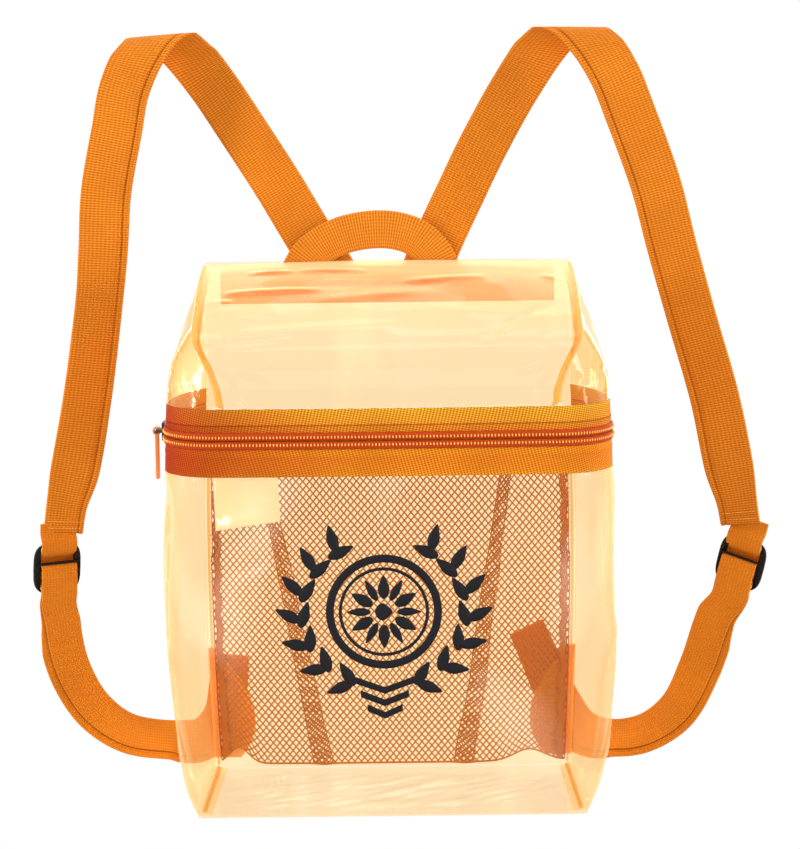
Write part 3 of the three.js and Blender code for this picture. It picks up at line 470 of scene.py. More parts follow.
label_paper = moulded_material("label_cloth", (1.0, 0.86, 0.66, 1), 0.7, grain=1800.0, shine=0.1)
# Painted shade: the coil's ridge is the loops' nylon drawn much darker, for the shade between the loops.
coil_nylon_painted_shade = moulded_material("coil_nylon_painted_shade", (0.42, 0.042, 0.001, 1), 0.6, shine=0.12)
tooth_nylon = moulded_material("coil_teeth", (1.0, 0.52, 0.09, 1), 0.45, shine=0.2)
enamel = moulded_material("pull_enamel", (0.74, 0.19, 0.012, 1), 0.35, metal=0.2, coat=0.4)
black_enamel = moulded_material("slider_enamel", (0.05, 0.022, 0.012, 1), 0.35, metal=0.3)
black_plastic = moulded_material("adjuster_plastic", (0.006, 0.0025, 0.0006, 1), 0.5, shine=0.15)
print_ink = moulded_material("print_ink", (0.008, 0.007, 0.009, 1), 0.6, shine=0.15)
stitch_thread = moulded_material("stitch_thread", (0.92, 0.42, 0.06, 1), 0.7, grain=2500.0)
print("materials:", len(bpy.data.materials))

# %% [markdown]
# ## The lower body
#
# On the real bag one sheet of film runs round the front and both sides and is sewn to the back. It was
# folded flat in a box, so soft dents and a few sharper folds stay in it, most of them upright near the
# corners and fanned out from the bottom corners. A grid of fine faces carries them as real relief.

# %% Front and sides
ROUND = 235  # millimetres from the middle of the front round to the back edge
# turn, rise, wide, tall, deep
FILM_DENTS = [
    (-0.36, 0.30, 0.030, 0.09, 0.40),
    (-0.60, 0.72, 0.05, 0.20, 0.55),
    (-0.52, 0.42, 0.06, 0.16, 0.50),
    (0.58, 0.60, 0.06, 0.22, 0.50),
    (0.50, 0.30, 0.05, 0.14, 0.40),
    (-0.10, 0.09, 0.22, 0.06, 0.45),
]
# Folds as lines in (round, height) millimetres: x0, y0, x1, y1, half width, height
BODY_FOLDS = [
    (-112, 3, -128, 74, 2.6, 0.9),
    (-118, 4, -150, 96, 2.2, -0.9),
    (-104, 4, -82, 52, 3.2, 0.7),
    (-108, 3, -52, 24, 3.4, -0.8),
    (112, 3, 130, 90, 2.6, 0.9),
    (118, 4, 152, 70, 2.2, -0.9),
    (105, 3, 74, 48, 3.2, 0.7),
    (106, 3, 40, 22, 3.6, -0.8),
    (-60, 12, 30, 17, 3.5, 0.6),
    (-30, 27, 84, 31, 4.0, -0.5),
    (-98, 184, -58, 201, 6.0, 0.6),
    (-84, 160, -50, 176, 5.0, -0.5),
    (64, 196, 96, 207, 5.0, 0.6),
    (70, 60, 98, 84, 6.0, 0.5),
    (-134, 130, -127, 205, 4.5, 1.3),
    (-149, 48, -141, 150, 4.8, -1.4),
    (-160, 118, -152, 200, 3.6, 1.2),
    (-172, 20, -162, 96, 4.0, 1.1),
    (-126, 84, -150, 116, 3.4, 1.0),
    (136, 118, 130, 206, 4.6, -1.3),
    (150, 36, 143, 132, 4.2, 1.3),
    (165, 96, 158, 204, 4.0, -1.1),
    (128, 92, 152, 122, 3.4, 0.9),
]


def body_relief(turn, height):
    """How far the film stands out at a place: soft dents, folds and a slow ripple."""
    hold = min(1, (height - FILM_FOOT) / 9, (ZIP_FOOT - height) / 14)
    side = min(1, max(0, (abs(turn) - 0.30) / 0.15))
    lift = -sum(
        FRONT_SWELL * deep * math.exp(-(((turn - at) / wide) ** 2) - ((height / HOOD_BASE - rise) / tall) ** 2)
        for at, rise, wide, tall, deep in FILM_DENTS
    )
    x = turn * ROUND
    lift += sum(fold(x, height, line) for line in BODY_FOLDS)
    lift += lerp(0.3, 1.5, side) * ripple(1, x / 30, height / 60)
    lift += lerp(0.08, 0.35, side) * ripple(2, x / 14, height / 45)
    low = math.exp(-((height / 38) ** 2))
    lift += 0.55 * low * ripple(3, x / 24, height / 9)
    return lift * max(0, hold)


def body_turn(s, t):
    """Turn and height of a place on the body's grid."""
    return 2 * s - 1, lerp(FILM_FOOT, ZIP_FOOT - GAP, t)


def body_place(s, t):
    turn, height = body_turn(s, t)
    return body_point(height, turn)


shell = laid_grid(260, 110, body_place, (2 * ROUND, ZIP_FOOT), lambda s, t: body_relief(*body_turn(s, t)))
front_and_sides = walled(keep(shell, "film_front_and_sides", film, replaces=["lower_shell"]), FILM_WALL)
print("film front and sides:", len(front_and_sides.data.polygons), "faces")

# %% [markdown]
# ## Bottom and back
#
# The bottom is a rectangle folded up at the front and sewn at both sides. The back is one flat sheet up to
# the roof. Both are grids again, drawn in to the outline that the body has at their height.

# %% Bottom and back
def bottom_place(s, t):
    side = body_point(FILM_FOOT, CORNER_SHARE)
    y = lerp(side.y, BACK_OUTER, t)
    hold = math.sin(math.pi * s) * math.sin(math.pi * t)
    lift = 1.7 * ripple(5, s * 9 + t * 4, t * 4 - s * 3) + 1.1 * ripple(26, s * 18 + t * 10, t * 6)
    return Vector((lerp(side.x, -side.x, s), y, 0.3 + abs(lift) * hold))


def back_edge(height):
    if height < HOOD_BASE:
        return body_point(height, 1).x
    share = max(0, BODY_HEIGHT - height) / (BODY_HEIGHT - HOOD_BASE)
    return roof_edge(1).x + (body_point(HOOD_BASE, 1).x - roof_edge(1).x) * share


def back_place(s, t):
    height = lerp(FILM_FOOT, BODY_HEIGHT, t)
    return Vector((lerp(back_edge(height), -back_edge(height), s), BACK_OUTER, height))


def back_relief(s, t):
    edge = min(1, 8 * min(s, 1 - s)) * min(1, 8 * min(t, 1 - t))
    return 0.22 * edge * (ripple(6, s * 5, t * 7) + 0.5 * ripple(7, s * 16, t * 12)) - 0.2 * edge


bottom = laid_grid(120, 56, bottom_place, (245, 113))
walled(keep(bottom, "film_bottom", film_low, replaces=["bottom_panel"]), FILM_WALL)
back = laid_grid(110, 130, back_place, (250, 343), back_relief)
walled(keep(back, "film_back", film, replaces=["back_panel"]), FILM_WALL)
print("back panel is", round(2 * back_edge(230)), "mm wide at the zip")

# %% [markdown]
# ## The hood
#
# Above the zip one panel runs up the front, over a rounded edge and back over the roof, between two side
# gussets. It is the part that mirrors the studio light most, so its waves matter: a few long shallow ones
# across the roof give the lens-shaped marks, and one pinched fold sits in each front corner.

# %% Hood panel and gussets
# Waves of the roof as lines in (across, along) millimetres
HOOD_FOLDS = [
    (-82, 152, -57, 153, 3.2, 1.5),
    (-51, 154, -13, 150, 3.4, 1.6),
    (-95, 119, -38, 121, 3.6, 1.7),
    (-112, 108, -92, 107, 3.0, 1.3),
    (14, 132, 62, 140, 4.0, 1.3),
    (98, 142, 110, 132, 3.6, 1.5),
    (-96, 96, -60, 90, 5.0, 0.9),
    (-88, 70, 12, 78, 6.0, 1.1),
    (-40, 108, 20, 116, 5.0, 0.8),
    (-100, 62, -55, 66, 4.0, -0.8),
    (30, 96, 104, 84, 7.0, 1.0),
    (58, 66, 102, 104, 4.0, -0.9),
    (-70, 128, 60, 124, 6.0, -0.7),
    (-104, 34, -92, 74, 3.0, 0.9),
    (104, 30, 92, 70, 3.0, 0.9),
    (-103, 40, -80, 26, 2.2, -0.7),
    (104, 44, 82, 30, 2.2, -0.7),
    (-99, 38, -96, 4, 2.6, 0.7),
    (100, 42, 95, 6, 2.6, 0.7),
]
HOOD_RUN = 178


def hood_place(s, t):
    edge, across = roof_edge(t), 2 * s - 1
    crown = 1 - across * across
    height = edge.z + ROOF_CROWN * min(1, 1.4 * t) * crown
    return Vector((edge.x * across, edge.y - FRONT_CROWN * crown * (1 - t), height))


def hood_relief(s, t):
    """The roof's folds and its ripple, held flat along the seams."""
    hold = max(0, min(1, 22 * t, 14 * (1 - t), 16 * s, 16 * (1 - s)))
    x, y = (2 * s - 1) * 114, t * HOOD_RUN
    roof = min(1, max(0, (t - 0.38) / 0.3))
    lift = sum(fold(x, y, line) for line in HOOD_FOLDS)
    lift += roof * (0.4 * ripple(8, x / 55, y / 24) + 0.15 * ripple(9, x / 22, y / 11))
    return (lift - 0.2) * hold


def gusset_place(s, t):
    """The left gusset: s runs from the back to the front, t from the zip band to the hood's seam."""
    run = 1 - s
    turn = -lerp(FLAT_SHARE + 0.015, 1, run**0.8)
    foot = body_point(HOOD_BASE + GAP, turn)
    edge = roof_edge(run)
    head = Vector((-edge.x - 1.6, edge.y, edge.z + 1.2))
    place = foot.lerp(head, t)
    place.x -= GUSSET_SWELL * math.sin(math.pi * t) * min(1, run * 3) * min(1, (1 - run) * 4)
    place.y = min(place.y, BACK_INNER - GAP)
    return place


def gusset_relief(s, t):
    hold = max(0, min(1, 9 * t, 9 * (1 - t), 9 * s, 9 * (1 - s)))
    x, y = s * 100, t * 70
    lift = 0.9 * ripple(10, x / 16, y / 40) + 0.4 * ripple(11, x / 6, y / 22)
    lift += fold(x, y, (84, 4, 78, 60, 2.4, 0.9)) + fold(x, y, (60, 6, 70, 58, 2.6, -0.9))
    lift += fold(x, y, (34, 4, 30, 55, 3.0, 0.8)) + fold(x, y, (92, 40, 62, 56, 2.0, -0.8))
    return lift * hold


hood = laid_grid(170, 130, hood_place, (228, HOOD_RUN), hood_relief)
walled(keep(hood, "film_hood", film_roof, replaces=["hood_panel"]), FILM_WALL)
left_gusset = laid_grid(80, 60, gusset_place, (100, 70), gusset_relief)
right_gusset = left_gusset.copy()
bmesh.ops.scale(right_gusset, vec=(-1, 1, 1), verts=right_gusset.verts)
bmesh.ops.reverse_faces(right_gusset, faces=right_gusset.faces)
walled(keep(left_gusset, "film_gusset_left", film_side, replaces=["hood_gusset_left"]), FILM_WALL)
walled(keep(right_gusset, "film_gusset_right", film_side, replaces=["hood_gusset_right"]), FILM_WALL)

# %% [markdown]
# ## Seam allowances
#
# Inside the bag each seam leaves a raw edge of doubled film, which shows as a deeper orange line. The
# solids of the upper seams have that shape already, so they stay and only get the doubled film.

# %% Seam allowances
for name in ("hood_seam_left", "hood_seam_right", "back_seam_left", "back_seam_right"):
    frame["nodes"][name].data.materials.clear()
    frame["nodes"][name].data.materials.append(film_doubled)

# %% [markdown]
# ## Zip tapes and coils
#
# The zip is a dress-type coil zip: two twill tapes, and between them two rows of nylon loops that lock. At
# this size each loop shows as a bright bead on a darker ridge. The ridge is a laid grid in a much darker
# nylon, as painted shade between the loops, and the beads are small balls of twenty faces, stretched and set
# along it every 1.9 millimetres.

# %% Zip band
ZIP_ROUND = 222


def tape_place(low, high, out=0.0):
    def place(s, t):
        turn = 2 * s - 1
        height = lerp(low, high, t)
        point = body_point(height, turn)
        ahead, behind = body_point(height, min(1, turn + 0.01)), body_point(height, max(-1, turn - 0.01))
        along = (ahead - behind).normalized()
        return point + Vector((along.y, -along.x, 0)) * out

    return place


def tape_relief(low, high):
    def relief(s, t):
        height = lerp(low, high, t)
        rib = 0.35 * math.exp(-(((height - 250.5) / 0.8) ** 2)) + 0.3 * math.exp(-(((height - 231.2) / 0.9) ** 2))
        hem = 0.15 * math.sin(s * 2 * ZIP_ROUND / 2.1) * math.exp(-min(t, 1 - t) * 30)
        return rib + hem + 0.12 * ripple(12, s * 60, t * 4) - 0.25

    return relief


for name, low, high, tape_cloth in (
    ("upper", ZIP_MIDDLE, HOOD_BASE - GAP, upper_tape_cloth),
    ("lower", ZIP_FOOT, ZIP_MIDDLE, lower_tape_cloth),
):
    tape = laid_grid(420, 24, tape_place(low, high), (2 * ZIP_ROUND, high - low), tape_relief(low, high))
    walled(keep(tape, f"zip_{name}_tape", tape_cloth, replaces=[f"zip_tape_{name}"]), 0.9)


def coil_ridge(low, high, out):
    """A rounded ridge: the grid's height runs over a half circle."""

    def place(s, t):
        turn = 2 * s - 1
        rise = math.sin(math.pi * t)
        height = lerp(low, high, t)
        return tape_place(height, height, 0.15 + out * rise**0.7)(s, 0)

    return place


def beads(name, spots, size, material, replaces=()):
    """Small balls, stretched to size along (round, out, up) at each (place, along, out)."""
    bm = bmesh.new()
    for place, along, out in spots:
        up = along.cross(out)
        turn = Matrix((along, out, up)).transposed().to_4x4()
        ball = turn @ Matrix.Diagonal((*size, 1))
        bmesh.ops.create_icosphere(bm, subdivisions=1, radius=1.0, matrix=Matrix.Translation(place) @ ball)
    return keep(bm, name, material, replaces=replaces)


def round_spots(height, pitch, out, first=-0.985, last=0.985):
    """Places every pitch millimetres round the body at a height."""
    spots, walked, turn = [], 0.0, first
    before = body_point(height, turn)
    while turn < last:
        turn += 0.0008
        here = body_point(height, turn)
        walked += (here - before).length
        if walked >= pitch:
            walked = 0.0
            along = (here - before).normalized()
            away = Vector((along.y, -along.x, 0))
            spots.append((to_row(here + away * out), along, away))
        before = here
    return spots


COIL_TALL, COIL_OUT = 5, 1.1
TOOTH_PITCH, TOOTH_OUT, TOOTH_UP = 1.9, 1.2, 2.35
TOOTH_SIZE = (0.00046, 0.0006, 0.0010)  # metres
for name, low, way in (("upper", ZIP_MIDDLE + 0.2, 1), ("lower", ZIP_MIDDLE - 5.2, -1)):
    ridge = laid_grid(300, 8, coil_ridge(low, low + COIL_TALL, COIL_OUT), (2 * ZIP_ROUND, COIL_TALL))
    bmesh.ops.recalc_face_normals(ridge, faces=ridge.faces)
    walled(keep(ridge, f"zip_{name}_coil", coil_nylon_painted_shade, replaces=[f"zip_coil_{name}"]), 0.5)
    teeth = round_spots(ZIP_MIDDLE + way * TOOTH_UP, TOOTH_PITCH, TOOTH_OUT)
    beads(f"zip_{name}_teeth", teeth, TOOTH_SIZE, tooth_nylon)
    print(f"zip {name}: {len(teeth)} teeth")

# %% [markdown]
# ## Net pocket
#
# The pocket is knitted diamond net, sewn in at the sides and foot and taken in by two pleats. A net is
# mostly holes, so its strands are real: a square grid is turned by 45 degrees, stretched to the size of
# the mesh, cut to the pocket's outline, laid on the pocket's surface, and then `wireframe` turns each edge
# into a strand. In the pleats a second layer lies behind the first, which makes the darker bands.

# %% Net
NET_FOOT, NET_TOP, NET_SWELL, NET_FOLD = 5, 221, 9, 2.6
NET_PLEATS = [(-0.19, -0.35), (0.20, 0.325)]  # each one's foot and top, in shares of the base's width
NET_TALL, NET_WIDE = NET_TOP - NET_FOOT, 240
NET_CELL, PLEAT_CELL, SELVAGE_CELL = (4.5, 5.35), (3.6, 4.2), (2.0, 2.6)
STRAND, PLEAT_STRAND, SELVAGE_STRAND = 1.38, 1.45, 1.25


def net_reach(up):
    """Half of the pocket's width at a share of its height."""
    return body_point(lerp(NET_FOOT, NET_TOP, up), 1).x - 4.9


def net_place(across, up, behind=0.0):
    """A place of the pocket: across from -1 to 1, up from 0 to 1."""
    height, reach = lerp(NET_FOOT, NET_TOP, up), net_reach(up)
    arch = math.sin(math.pi * lerp(0.08, 0.62, up))
    swell = NET_SWELL * (1 - across**4) * (0.25 + 0.75 * arch)
    for foot, top in NET_PLEATS:
        away = (reach * across - BASE_WIDTH * lerp(foot, top, up)) / (NET_FOLD * 2.2)
        swell += NET_FOLD * math.exp(-(away**2))
    slack = 0.5 * ripple(14, across * 4, up * 5) * min(1, 6 * (1 - abs(across)))
    x = reach * across
    rise = 11 * math.exp(-(((x + 104) / 9) ** 2)) + 8 * math.exp(-(((x - 92) / 14) ** 2))
    height += rise * (1 - up) ** 8
    return Vector((x, BACK_INNER - GAP - 0.55 - swell - slack * 0.5 + behind, height))


def net_grid(cell, wide, tall, shift=0.0):
    """Flat diamond net in millimetres, centred across, from 0 up."""
    bm = bmesh.new()
    count = math.ceil(wide / cell[0] + tall / cell[1]) + 2
    bmesh.ops.create_grid(bm, x_segments=count, y_segments=count, size=count / 2)
    bmesh.ops.rotate(bm, matrix=Matrix.Rotation(math.radians(45), 3, "Z"), verts=bm.verts)
    bmesh.ops.scale(bm, vec=(cell[0] / math.sqrt(2), cell[1] / math.sqrt(2), 1), verts=bm.verts)
    bmesh.ops.translate(bm, vec=(shift, tall / 2 + shift, 0), verts=bm.verts)
    for spot, way in (((wide / 2, 0, 0), (1, 0, 0)), ((-wide / 2, 0, 0), (-1, 0, 0)),
                      ((0, tall, 0), (0, 1, 0)), ((0, 0, 0), (0, -1, 0))):
        everything = bm.verts[:] + bm.edges[:] + bm.faces[:]
        bmesh.ops.bisect_plane(bm, geom=everything, plane_co=spot, plane_no=way, clear_outer=True)
    bmesh.ops.remove_doubles(bm, verts=bm.verts, dist=0.5)
    return bm


def strands(bm, thick):
    bmesh.ops.wireframe(
        bm, faces=bm.faces[:], thickness=thick / 1000, offset=0.0, use_replace=True, use_boundary=True,
        use_even_offset=False,
    )
    return bm


pocket = net_grid(NET_CELL, NET_WIDE, NET_TALL)
for vert in pocket.verts:
    sway = 1.6 * ripple(15, vert.co.y / 60, 3) + 0.8 * ripple(16, vert.co.x / 30, vert.co.y / 30)
    edge = min(1, (NET_WIDE / 2 - abs(vert.co.x)) / 12)
    vert.co = to_row(net_place((vert.co.x + sway * max(0, edge)) / (NET_WIDE / 2), vert.co.y / NET_TALL))
keep(strands(pocket, STRAND), "net_pocket_strands", net_thread, replaces=["net_pocket"], smooth=False)

for (side, sign), (foot, top) in zip(SIDES, NET_PLEATS):
    pleat = net_grid(PLEAT_CELL, 10, NET_TALL, shift=1.3)
    for vert in pleat.verts:
        up = vert.co.y / NET_TALL
        wide = 1.35 - 0.7 * up + 0.2 * ripple(17, up * 6, foot)
        x = BASE_WIDTH * lerp(foot, top, up) + vert.co.x * wide + 1.5 * ripple(18, up * 4, foot)
        vert.co = to_row(net_place(x / net_reach(up), up, behind=1.3))
    keep(strands(pleat, PLEAT_STRAND), f"net_pleat_{side}", net_thread, smooth=False)
    hem = net_grid(SELVAGE_CELL, 6.5, NET_TALL)
    for vert in hem.verts:
        up = vert.co.y / NET_TALL
        reach = net_reach(up)
        curl = 0.8 * math.sin(up * 70) + 1.2 * ripple(19, up * 16, sign)
        vert.co = to_row(net_place(sign * (reach - 3.4 + (vert.co.x + curl) * 0.7) / reach, up, behind=-0.9))
    keep(strands(hem, SELVAGE_STRAND), f"net_selvage_{side}", net_thread, smooth=False)

# %% [markdown]
# Where the net was cut, short ends of thread stick out of the edge. They are thin wires: a curve with a
# round bevel is the quickest way to draw one, and it becomes a mesh before it is kept.

# %% Frayed ends
def wires(name, runs, radius, material, sides=2):
    """Round wires along lists of places in metres, as one mesh."""
    drawn = bpy.data.curves.new(name, "CURVE")
    drawn.dimensions = "3D"
    drawn.bevel_depth = radius
    drawn.bevel_resolution = sides - 1
    drawn.use_fill_caps = True
    for run in runs:
        line = drawn.splines.new("POLY")
        line.points.add(len(run) - 1)
        for point, place in zip(line.points, run):
            point.co = (*place, 1)
    maker = bpy.data.objects.new(name, drawn)
    scene.collection.objects.link(maker)
    bpy.context.view_layer.update()
    bm = bmesh.new()
    bm.from_mesh(maker.to_mesh())
    maker.to_mesh_clear()
    bpy.data.objects.remove(maker)
    bpy.data.curves.remove(drawn)
    return keep(bm, name, material)


chance = random.Random(7)
frays = []
for _ in range(34):
    up = chance.random()
    side = -1 if chance.random() < 0.8 else 1
    start = to_row(net_place(side * 0.985, up, behind=-1.0))
    bend = Vector((side * chance.uniform(0.6, 1.8), chance.uniform(-0.5, 0.4), chance.uniform(-1.6, 1.6))) / 1000
    tip = Vector((side * chance.uniform(0.4, 2.0), chance.uniform(-0.6, 0.2), chance.uniform(-2.0, 1.2))) / 1000
    frays.append([start, start + bend, start + bend + tip])
wires("net_frays", frays, 0.00018, net_thread, sides=1)

# %% [markdown]
# ## Care label
#
# A bare pale label hangs in the pocket's upper left corner, a little curled. It is the one loose piece of
# cloth on the bag, a grid whose UV map keeps the size that it was cut to.

# %% Label
LABEL_WIDTH, LABEL_HEIGHT = 43, 41


def label_place(s, t):
    left, top = -0.48 * BASE_WIDTH, ZIP_FOOT - 11
    front = BACK_INNER - NET_SWELL * 0.885 - NET_FOLD - 1 - 2 * GAP
    curl = 2.0 * (s - 0.5) ** 2 + 0.35 * ripple(20, s * 2, t * 2)
    x = left + LABEL_WIDTH * s + 1.5 * (1 - t)
    return Vector((x, front - curl, top - LABEL_HEIGHT * (1 - t) - 4 * s * t + 6 * s * (1 - t)))


label = laid_grid(40, 40, label_place, (LABEL_WIDTH, LABEL_HEIGHT))
label = walled(keep(label, "bare_label", label_paper, replaces=["care_label"]), 0.35)

# %% [markdown]
# ## Straps
#
# Webbing keeps its width and only bends, so a strap is a profile carried along a route. The routes are the
# solids' own: points in shares of reach, height and depth, joined by a smooth curve, with two angles that
# turn the strap's width. `route_of` gives the place and directions at any distance along a route.

# %% Routes
STRAP_REACH = 232
STRAP_WIDTH, STRAP_THICK, WEB_WIDTH, WEB_THICK, WEB_SLACK = 32.5, 2.6, 25, 1.3, 0.5
YOKE_DEPTH = BACK_OUTER + GAP + WEB_THICK / 2
HANDLE_DEPTH = YOKE_DEPTH + WEB_THICK + GAP
STRAP_DEPTH = HANDLE_DEPTH + WEB_THICK / 2 + GAP + STRAP_THICK / 2
WEB_PAIR = 2 * WEB_THICK + WEB_SLACK
ANCHOR_DEPTH = YOKE_DEPTH + WEB_THICK / 2 + GAP + WEB_PAIR / 2

# Shares of reach, height and depth, then the angles lean and yaw, the width's share, and how far it is a crest
# out, up, back, lean, yaw, wide, crest
LEFT_STRAP = [
    (0.108, 0.640, 0.000, 0, 0, 1, 0), (0.160, 0.682, 0.006, 0, 0, 1, 0), (0.220, 0.727, 0.030, 0, 0, 1, 0),
    (0.308, 0.797, 0.070, 0, 0, 1, 0), (0.412, 0.874, 0.100, 0, 0, 1, 0), (0.490, 0.930, 0.110, 0, 0, 1, 0),
    (0.560, 0.972, 0.085, 5, 0, 1, 0.85), (0.622, 0.996, -0.040, 6, 0, 1, 1), (0.678, 0.970, -0.165, 5, 0, 1, 0.7),
    (0.722, 0.925, -0.210, 0, 2, 1, 0), (0.745, 0.872, -0.230, 0, 5, 1, 0), (0.779, 0.792, -0.240, 0, 10, 1, 0),
    (0.792, 0.716, -0.240, 0, 18, 1, 0), (0.808, 0.650, -0.220, 0, 26, 1, 0), (0.852, 0.518, -0.200, 0, 20, 1, 0),
    (0.896, 0.420, -0.160, 0, 14, 1, 0), (0.924, 0.372, -0.140, 0, 17, 0.84, 0),
    (0.938, 0.335, -0.120, 0, 26, 0.84, 0),
]
RIGHT_STRAP = [
    (0.082, 0.640, 0.000, 0, 0, 1, 0), (0.110, 0.680, 0.006, 0, 0, 1, 0), (0.152, 0.726, 0.030, 0, 0, 1, 0),
    (0.208, 0.780, 0.070, 0, 0, 1, 0), (0.278, 0.846, 0.100, 0, 0, 1, 0), (0.374, 0.925, 0.110, 0, 0, 1, 0),
    (0.452, 0.978, 0.080, 2, 0, 1, 0.85), (0.516, 1.004, -0.050, 3, 0, 1, 1), (0.580, 0.980, -0.165, 2, 0, 1, 0.7),
    (0.636, 0.938, -0.220, 0, 2, 1, 0), (0.680, 0.886, -0.240, 0, 5, 1, 0), (0.750, 0.795, -0.250, 0, 10, 1, 0),
    (0.796, 0.714, -0.240, 0, 14, 1, 0), (0.852, 0.622, -0.220, 0, 16, 1, 0), (0.922, 0.512, -0.190, 0, 14, 1, 0),
    (0.968, 0.415, -0.150, 0, 14, 1, 0), (0.992, 0.368, -0.130, 0, 17, 0.84, 0),
    (1.004, 0.3365, -0.120, 0, 26, 0.84, 0),
]
LEFT_WEB = [
    (0.938, 0.3335, -0.12, 0, 22, 1, 0), (0.952, 0.288, -0.11, 0, 30, 1, 0), (0.950, 0.242, -0.08, 0, 30, 1, 0),
    (0.948, 0.190, -0.05, 4, 32, 1, 0), (0.924, 0.138, -0.02, 22, 36, 1, 0), (0.866, 0.086, 0.02, 47, 42, 1, 0),
    (0.776, 0.052, 0.05, 68, 48, 1, 0), (0.640, 0.038, 0.10, 88, 46, 1, 0), (0.560, 0.042, 0.045, 98, 12, 1, 0),
    (0.502, 0.072, 0.018, 135, 0, 1, 0), (0.480, 0.118, 0.005, 165, 0, 1, 0), (0.470, 0.158, 0.004, 172, 0, 1, 0),
]
RIGHT_WEB = [
    (1.002, 0.3305, -0.12, 0, 22, 1, 0), (1.000, 0.286, -0.11, 0, 30, 1, 0), (0.962, 0.242, -0.08, 4, 30, 1, 0),
    (0.926, 0.196, -0.05, 8, 32, 1, 0), (0.886, 0.136, -0.02, 18, 36, 1, 0), (0.826, 0.076, 0.02, 40, 44, 1, 0),
    (0.740, 0.044, 0.05, 66, 52, 1, 0), (0.640, 0.034, 0.10, 86, 50, 1, 0), (0.556, 0.048, 0.045, 100, 12, 1, 0),
    (0.490, 0.094, 0.018, 128, 0, 1, 0), (0.436, 0.148, 0.005, 139, 0, 1, 0), (0.392, 0.192, 0.004, 140, 0, 1, 0),
]


def smooth_curve(points):
    """A function of t from 0 to 1 for a centripetal curve through the points."""
    first, last = points[0] * 2 - points[1], points[-1] * 2 - points[-2]
    line = [first, *points, last]

    def at(t):
        p = min(1, max(0, t)) * (len(points) - 1)
        i = min(len(points) - 2, int(p))
        w = p - i
        p0, p1, p2, p3 = line[i : i + 4]
        d0, d1, d2 = (max(1e-4, (b - a).length ** 0.5) for a, b in ((p0, p1), (p1, p2), (p2, p3)))
        leave = ((p1 - p0) / d0 - (p2 - p0) / (d0 + d1) + (p2 - p1) / d1) * d1
        reach = ((p2 - p1) / d1 - (p3 - p1) / (d1 + d2) + (p3 - p2) / d2) * d1
        square, cube = p1 * -3 + p2 * 3 - leave * 2 - reach, p1 * 2 - p2 * 2 + leave + reach
        return p1 + leave * w + square * w**2 + cube * w**3

    return at


def route_of(rows, depth):
    """The route's length, and a function that gives (place, along, width, face, wide) at a distance."""
    curve = smooth_curve(
        [Vector((out * STRAP_REACH, depth + back * BODY_DEPTH, up * HANG_HEIGHT)) for out, up, back, *_ in rows]
    )
    count = 600
    places = [curve(i / count) for i in range(count + 1)]
    walked = [0.0]
    for a, b in zip(places, places[1:]):
        walked.append(walked[-1] + (b - a).length)
    turns = [(i / (len(rows) - 1), *row[3:]) for i, row in enumerate(rows)]

    def frame_at(distance):
        distance = min(walked[-1], max(0, distance))
        i = min(count - 1, next((k for k in range(1, count + 1) if walked[k] >= distance), count) - 1)
        t = (i + (distance - walked[i]) / max(1e-9, walked[i + 1] - walked[i])) / count
        lean, yaw, wide, crest = between(turns, t)
        along = (curve(t + 1e-4) - curve(t - 1e-4)).normalized()
        lean, yaw = math.radians(lean), math.radians(yaw)
        rung = Vector((-math.cos(lean) * math.cos(yaw), math.sin(yaw), math.sin(lean) * math.cos(yaw)))
        width = (rung - along * rung.dot(along)).normalized()
        width = width.lerp(rung, max(0, crest)).normalized()
        slant = math.sqrt(1 - width.dot(along) ** 2)
        return curve(t), along, width, width.cross(along).normalized(), wide / slant

    return walked[-1], frame_at


# %% [markdown]
# A band's profile is a flat ring with rounded edges. `band` lays a grid along the stations: s runs round
# the profile and t along the band. Then the two long edges are joined and the ends closed.

# %% Bands
def rounded_profile(half, thick, groove=None, steps=4):
    """(across, out) places round a flat band's section, in millimetres, with a groove if one is asked for."""
    edge = thick / 2
    front = [(-half + edge) + (2 * half - thick) * i / 14 for i in range(15)]
    ring = [(a, edge - 0.05 * (a / half) ** 2) for a in front]
    if groove:
        dip = [(groove + side * wide, edge - deep) for wide, deep in ((1.0, 0.0), (0.35, 1.2)) for side in (-1, 1)]
        ring = sorted([p for p in ring if abs(p[0] - groove) > 1.3] + dip)
    turn = [math.pi / 2 - math.pi * i / (steps + 1) for i in range(1, steps + 1)]
    right = [(half - edge + edge * math.cos(a), edge * math.sin(a)) for a in turn]
    under = [(a, -edge) for a in reversed(front)]
    left = [(-half + edge - edge * math.cos(a), -edge * math.sin(a)) for a in turn]
    return ring + right + under + left + [ring[0]]


def band(stations, profile, flip=False):
    """A closed band through stations of (place, width, face, share of width, distance), all in millimetres."""
    last = len(stations) - 1
    way = -1 if flip else 1
    bm = bmesh.new()
    cloth = bm.loops.layers.uv.new("cloth")
    bmesh.ops.create_grid(bm, x_segments=len(profile) - 1, y_segments=last, size=0.5)
    spots = {v: (round((v.co.x + 0.5) * (len(profile) - 1)), round((v.co.y + 0.5) * last)) for v in bm.verts}
    for face in bm.faces:
        for loop in face.loops:
            i, j = spots[loop.vert]
            loop[cloth].uv = ((profile[i][0] + 50) / 1000, stations[j][4] / 1000)
    for vert, (i, j) in spots.items():
        place, width, face, wide, _ = stations[j]
        across, out = profile[i]
        point = place + width * across * wide + face * out
        vert.co = to_row((way * point.x, point.y, point.z))
    bmesh.ops.remove_doubles(bm, verts=bm.verts, dist=1e-6)
    ends = [edge for edge in bm.edges if edge.is_boundary]
    bmesh.ops.holes_fill(bm, edges=ends, sides=0)
    bmesh.ops.recalc_face_normals(bm, faces=bm.faces)
    return bm


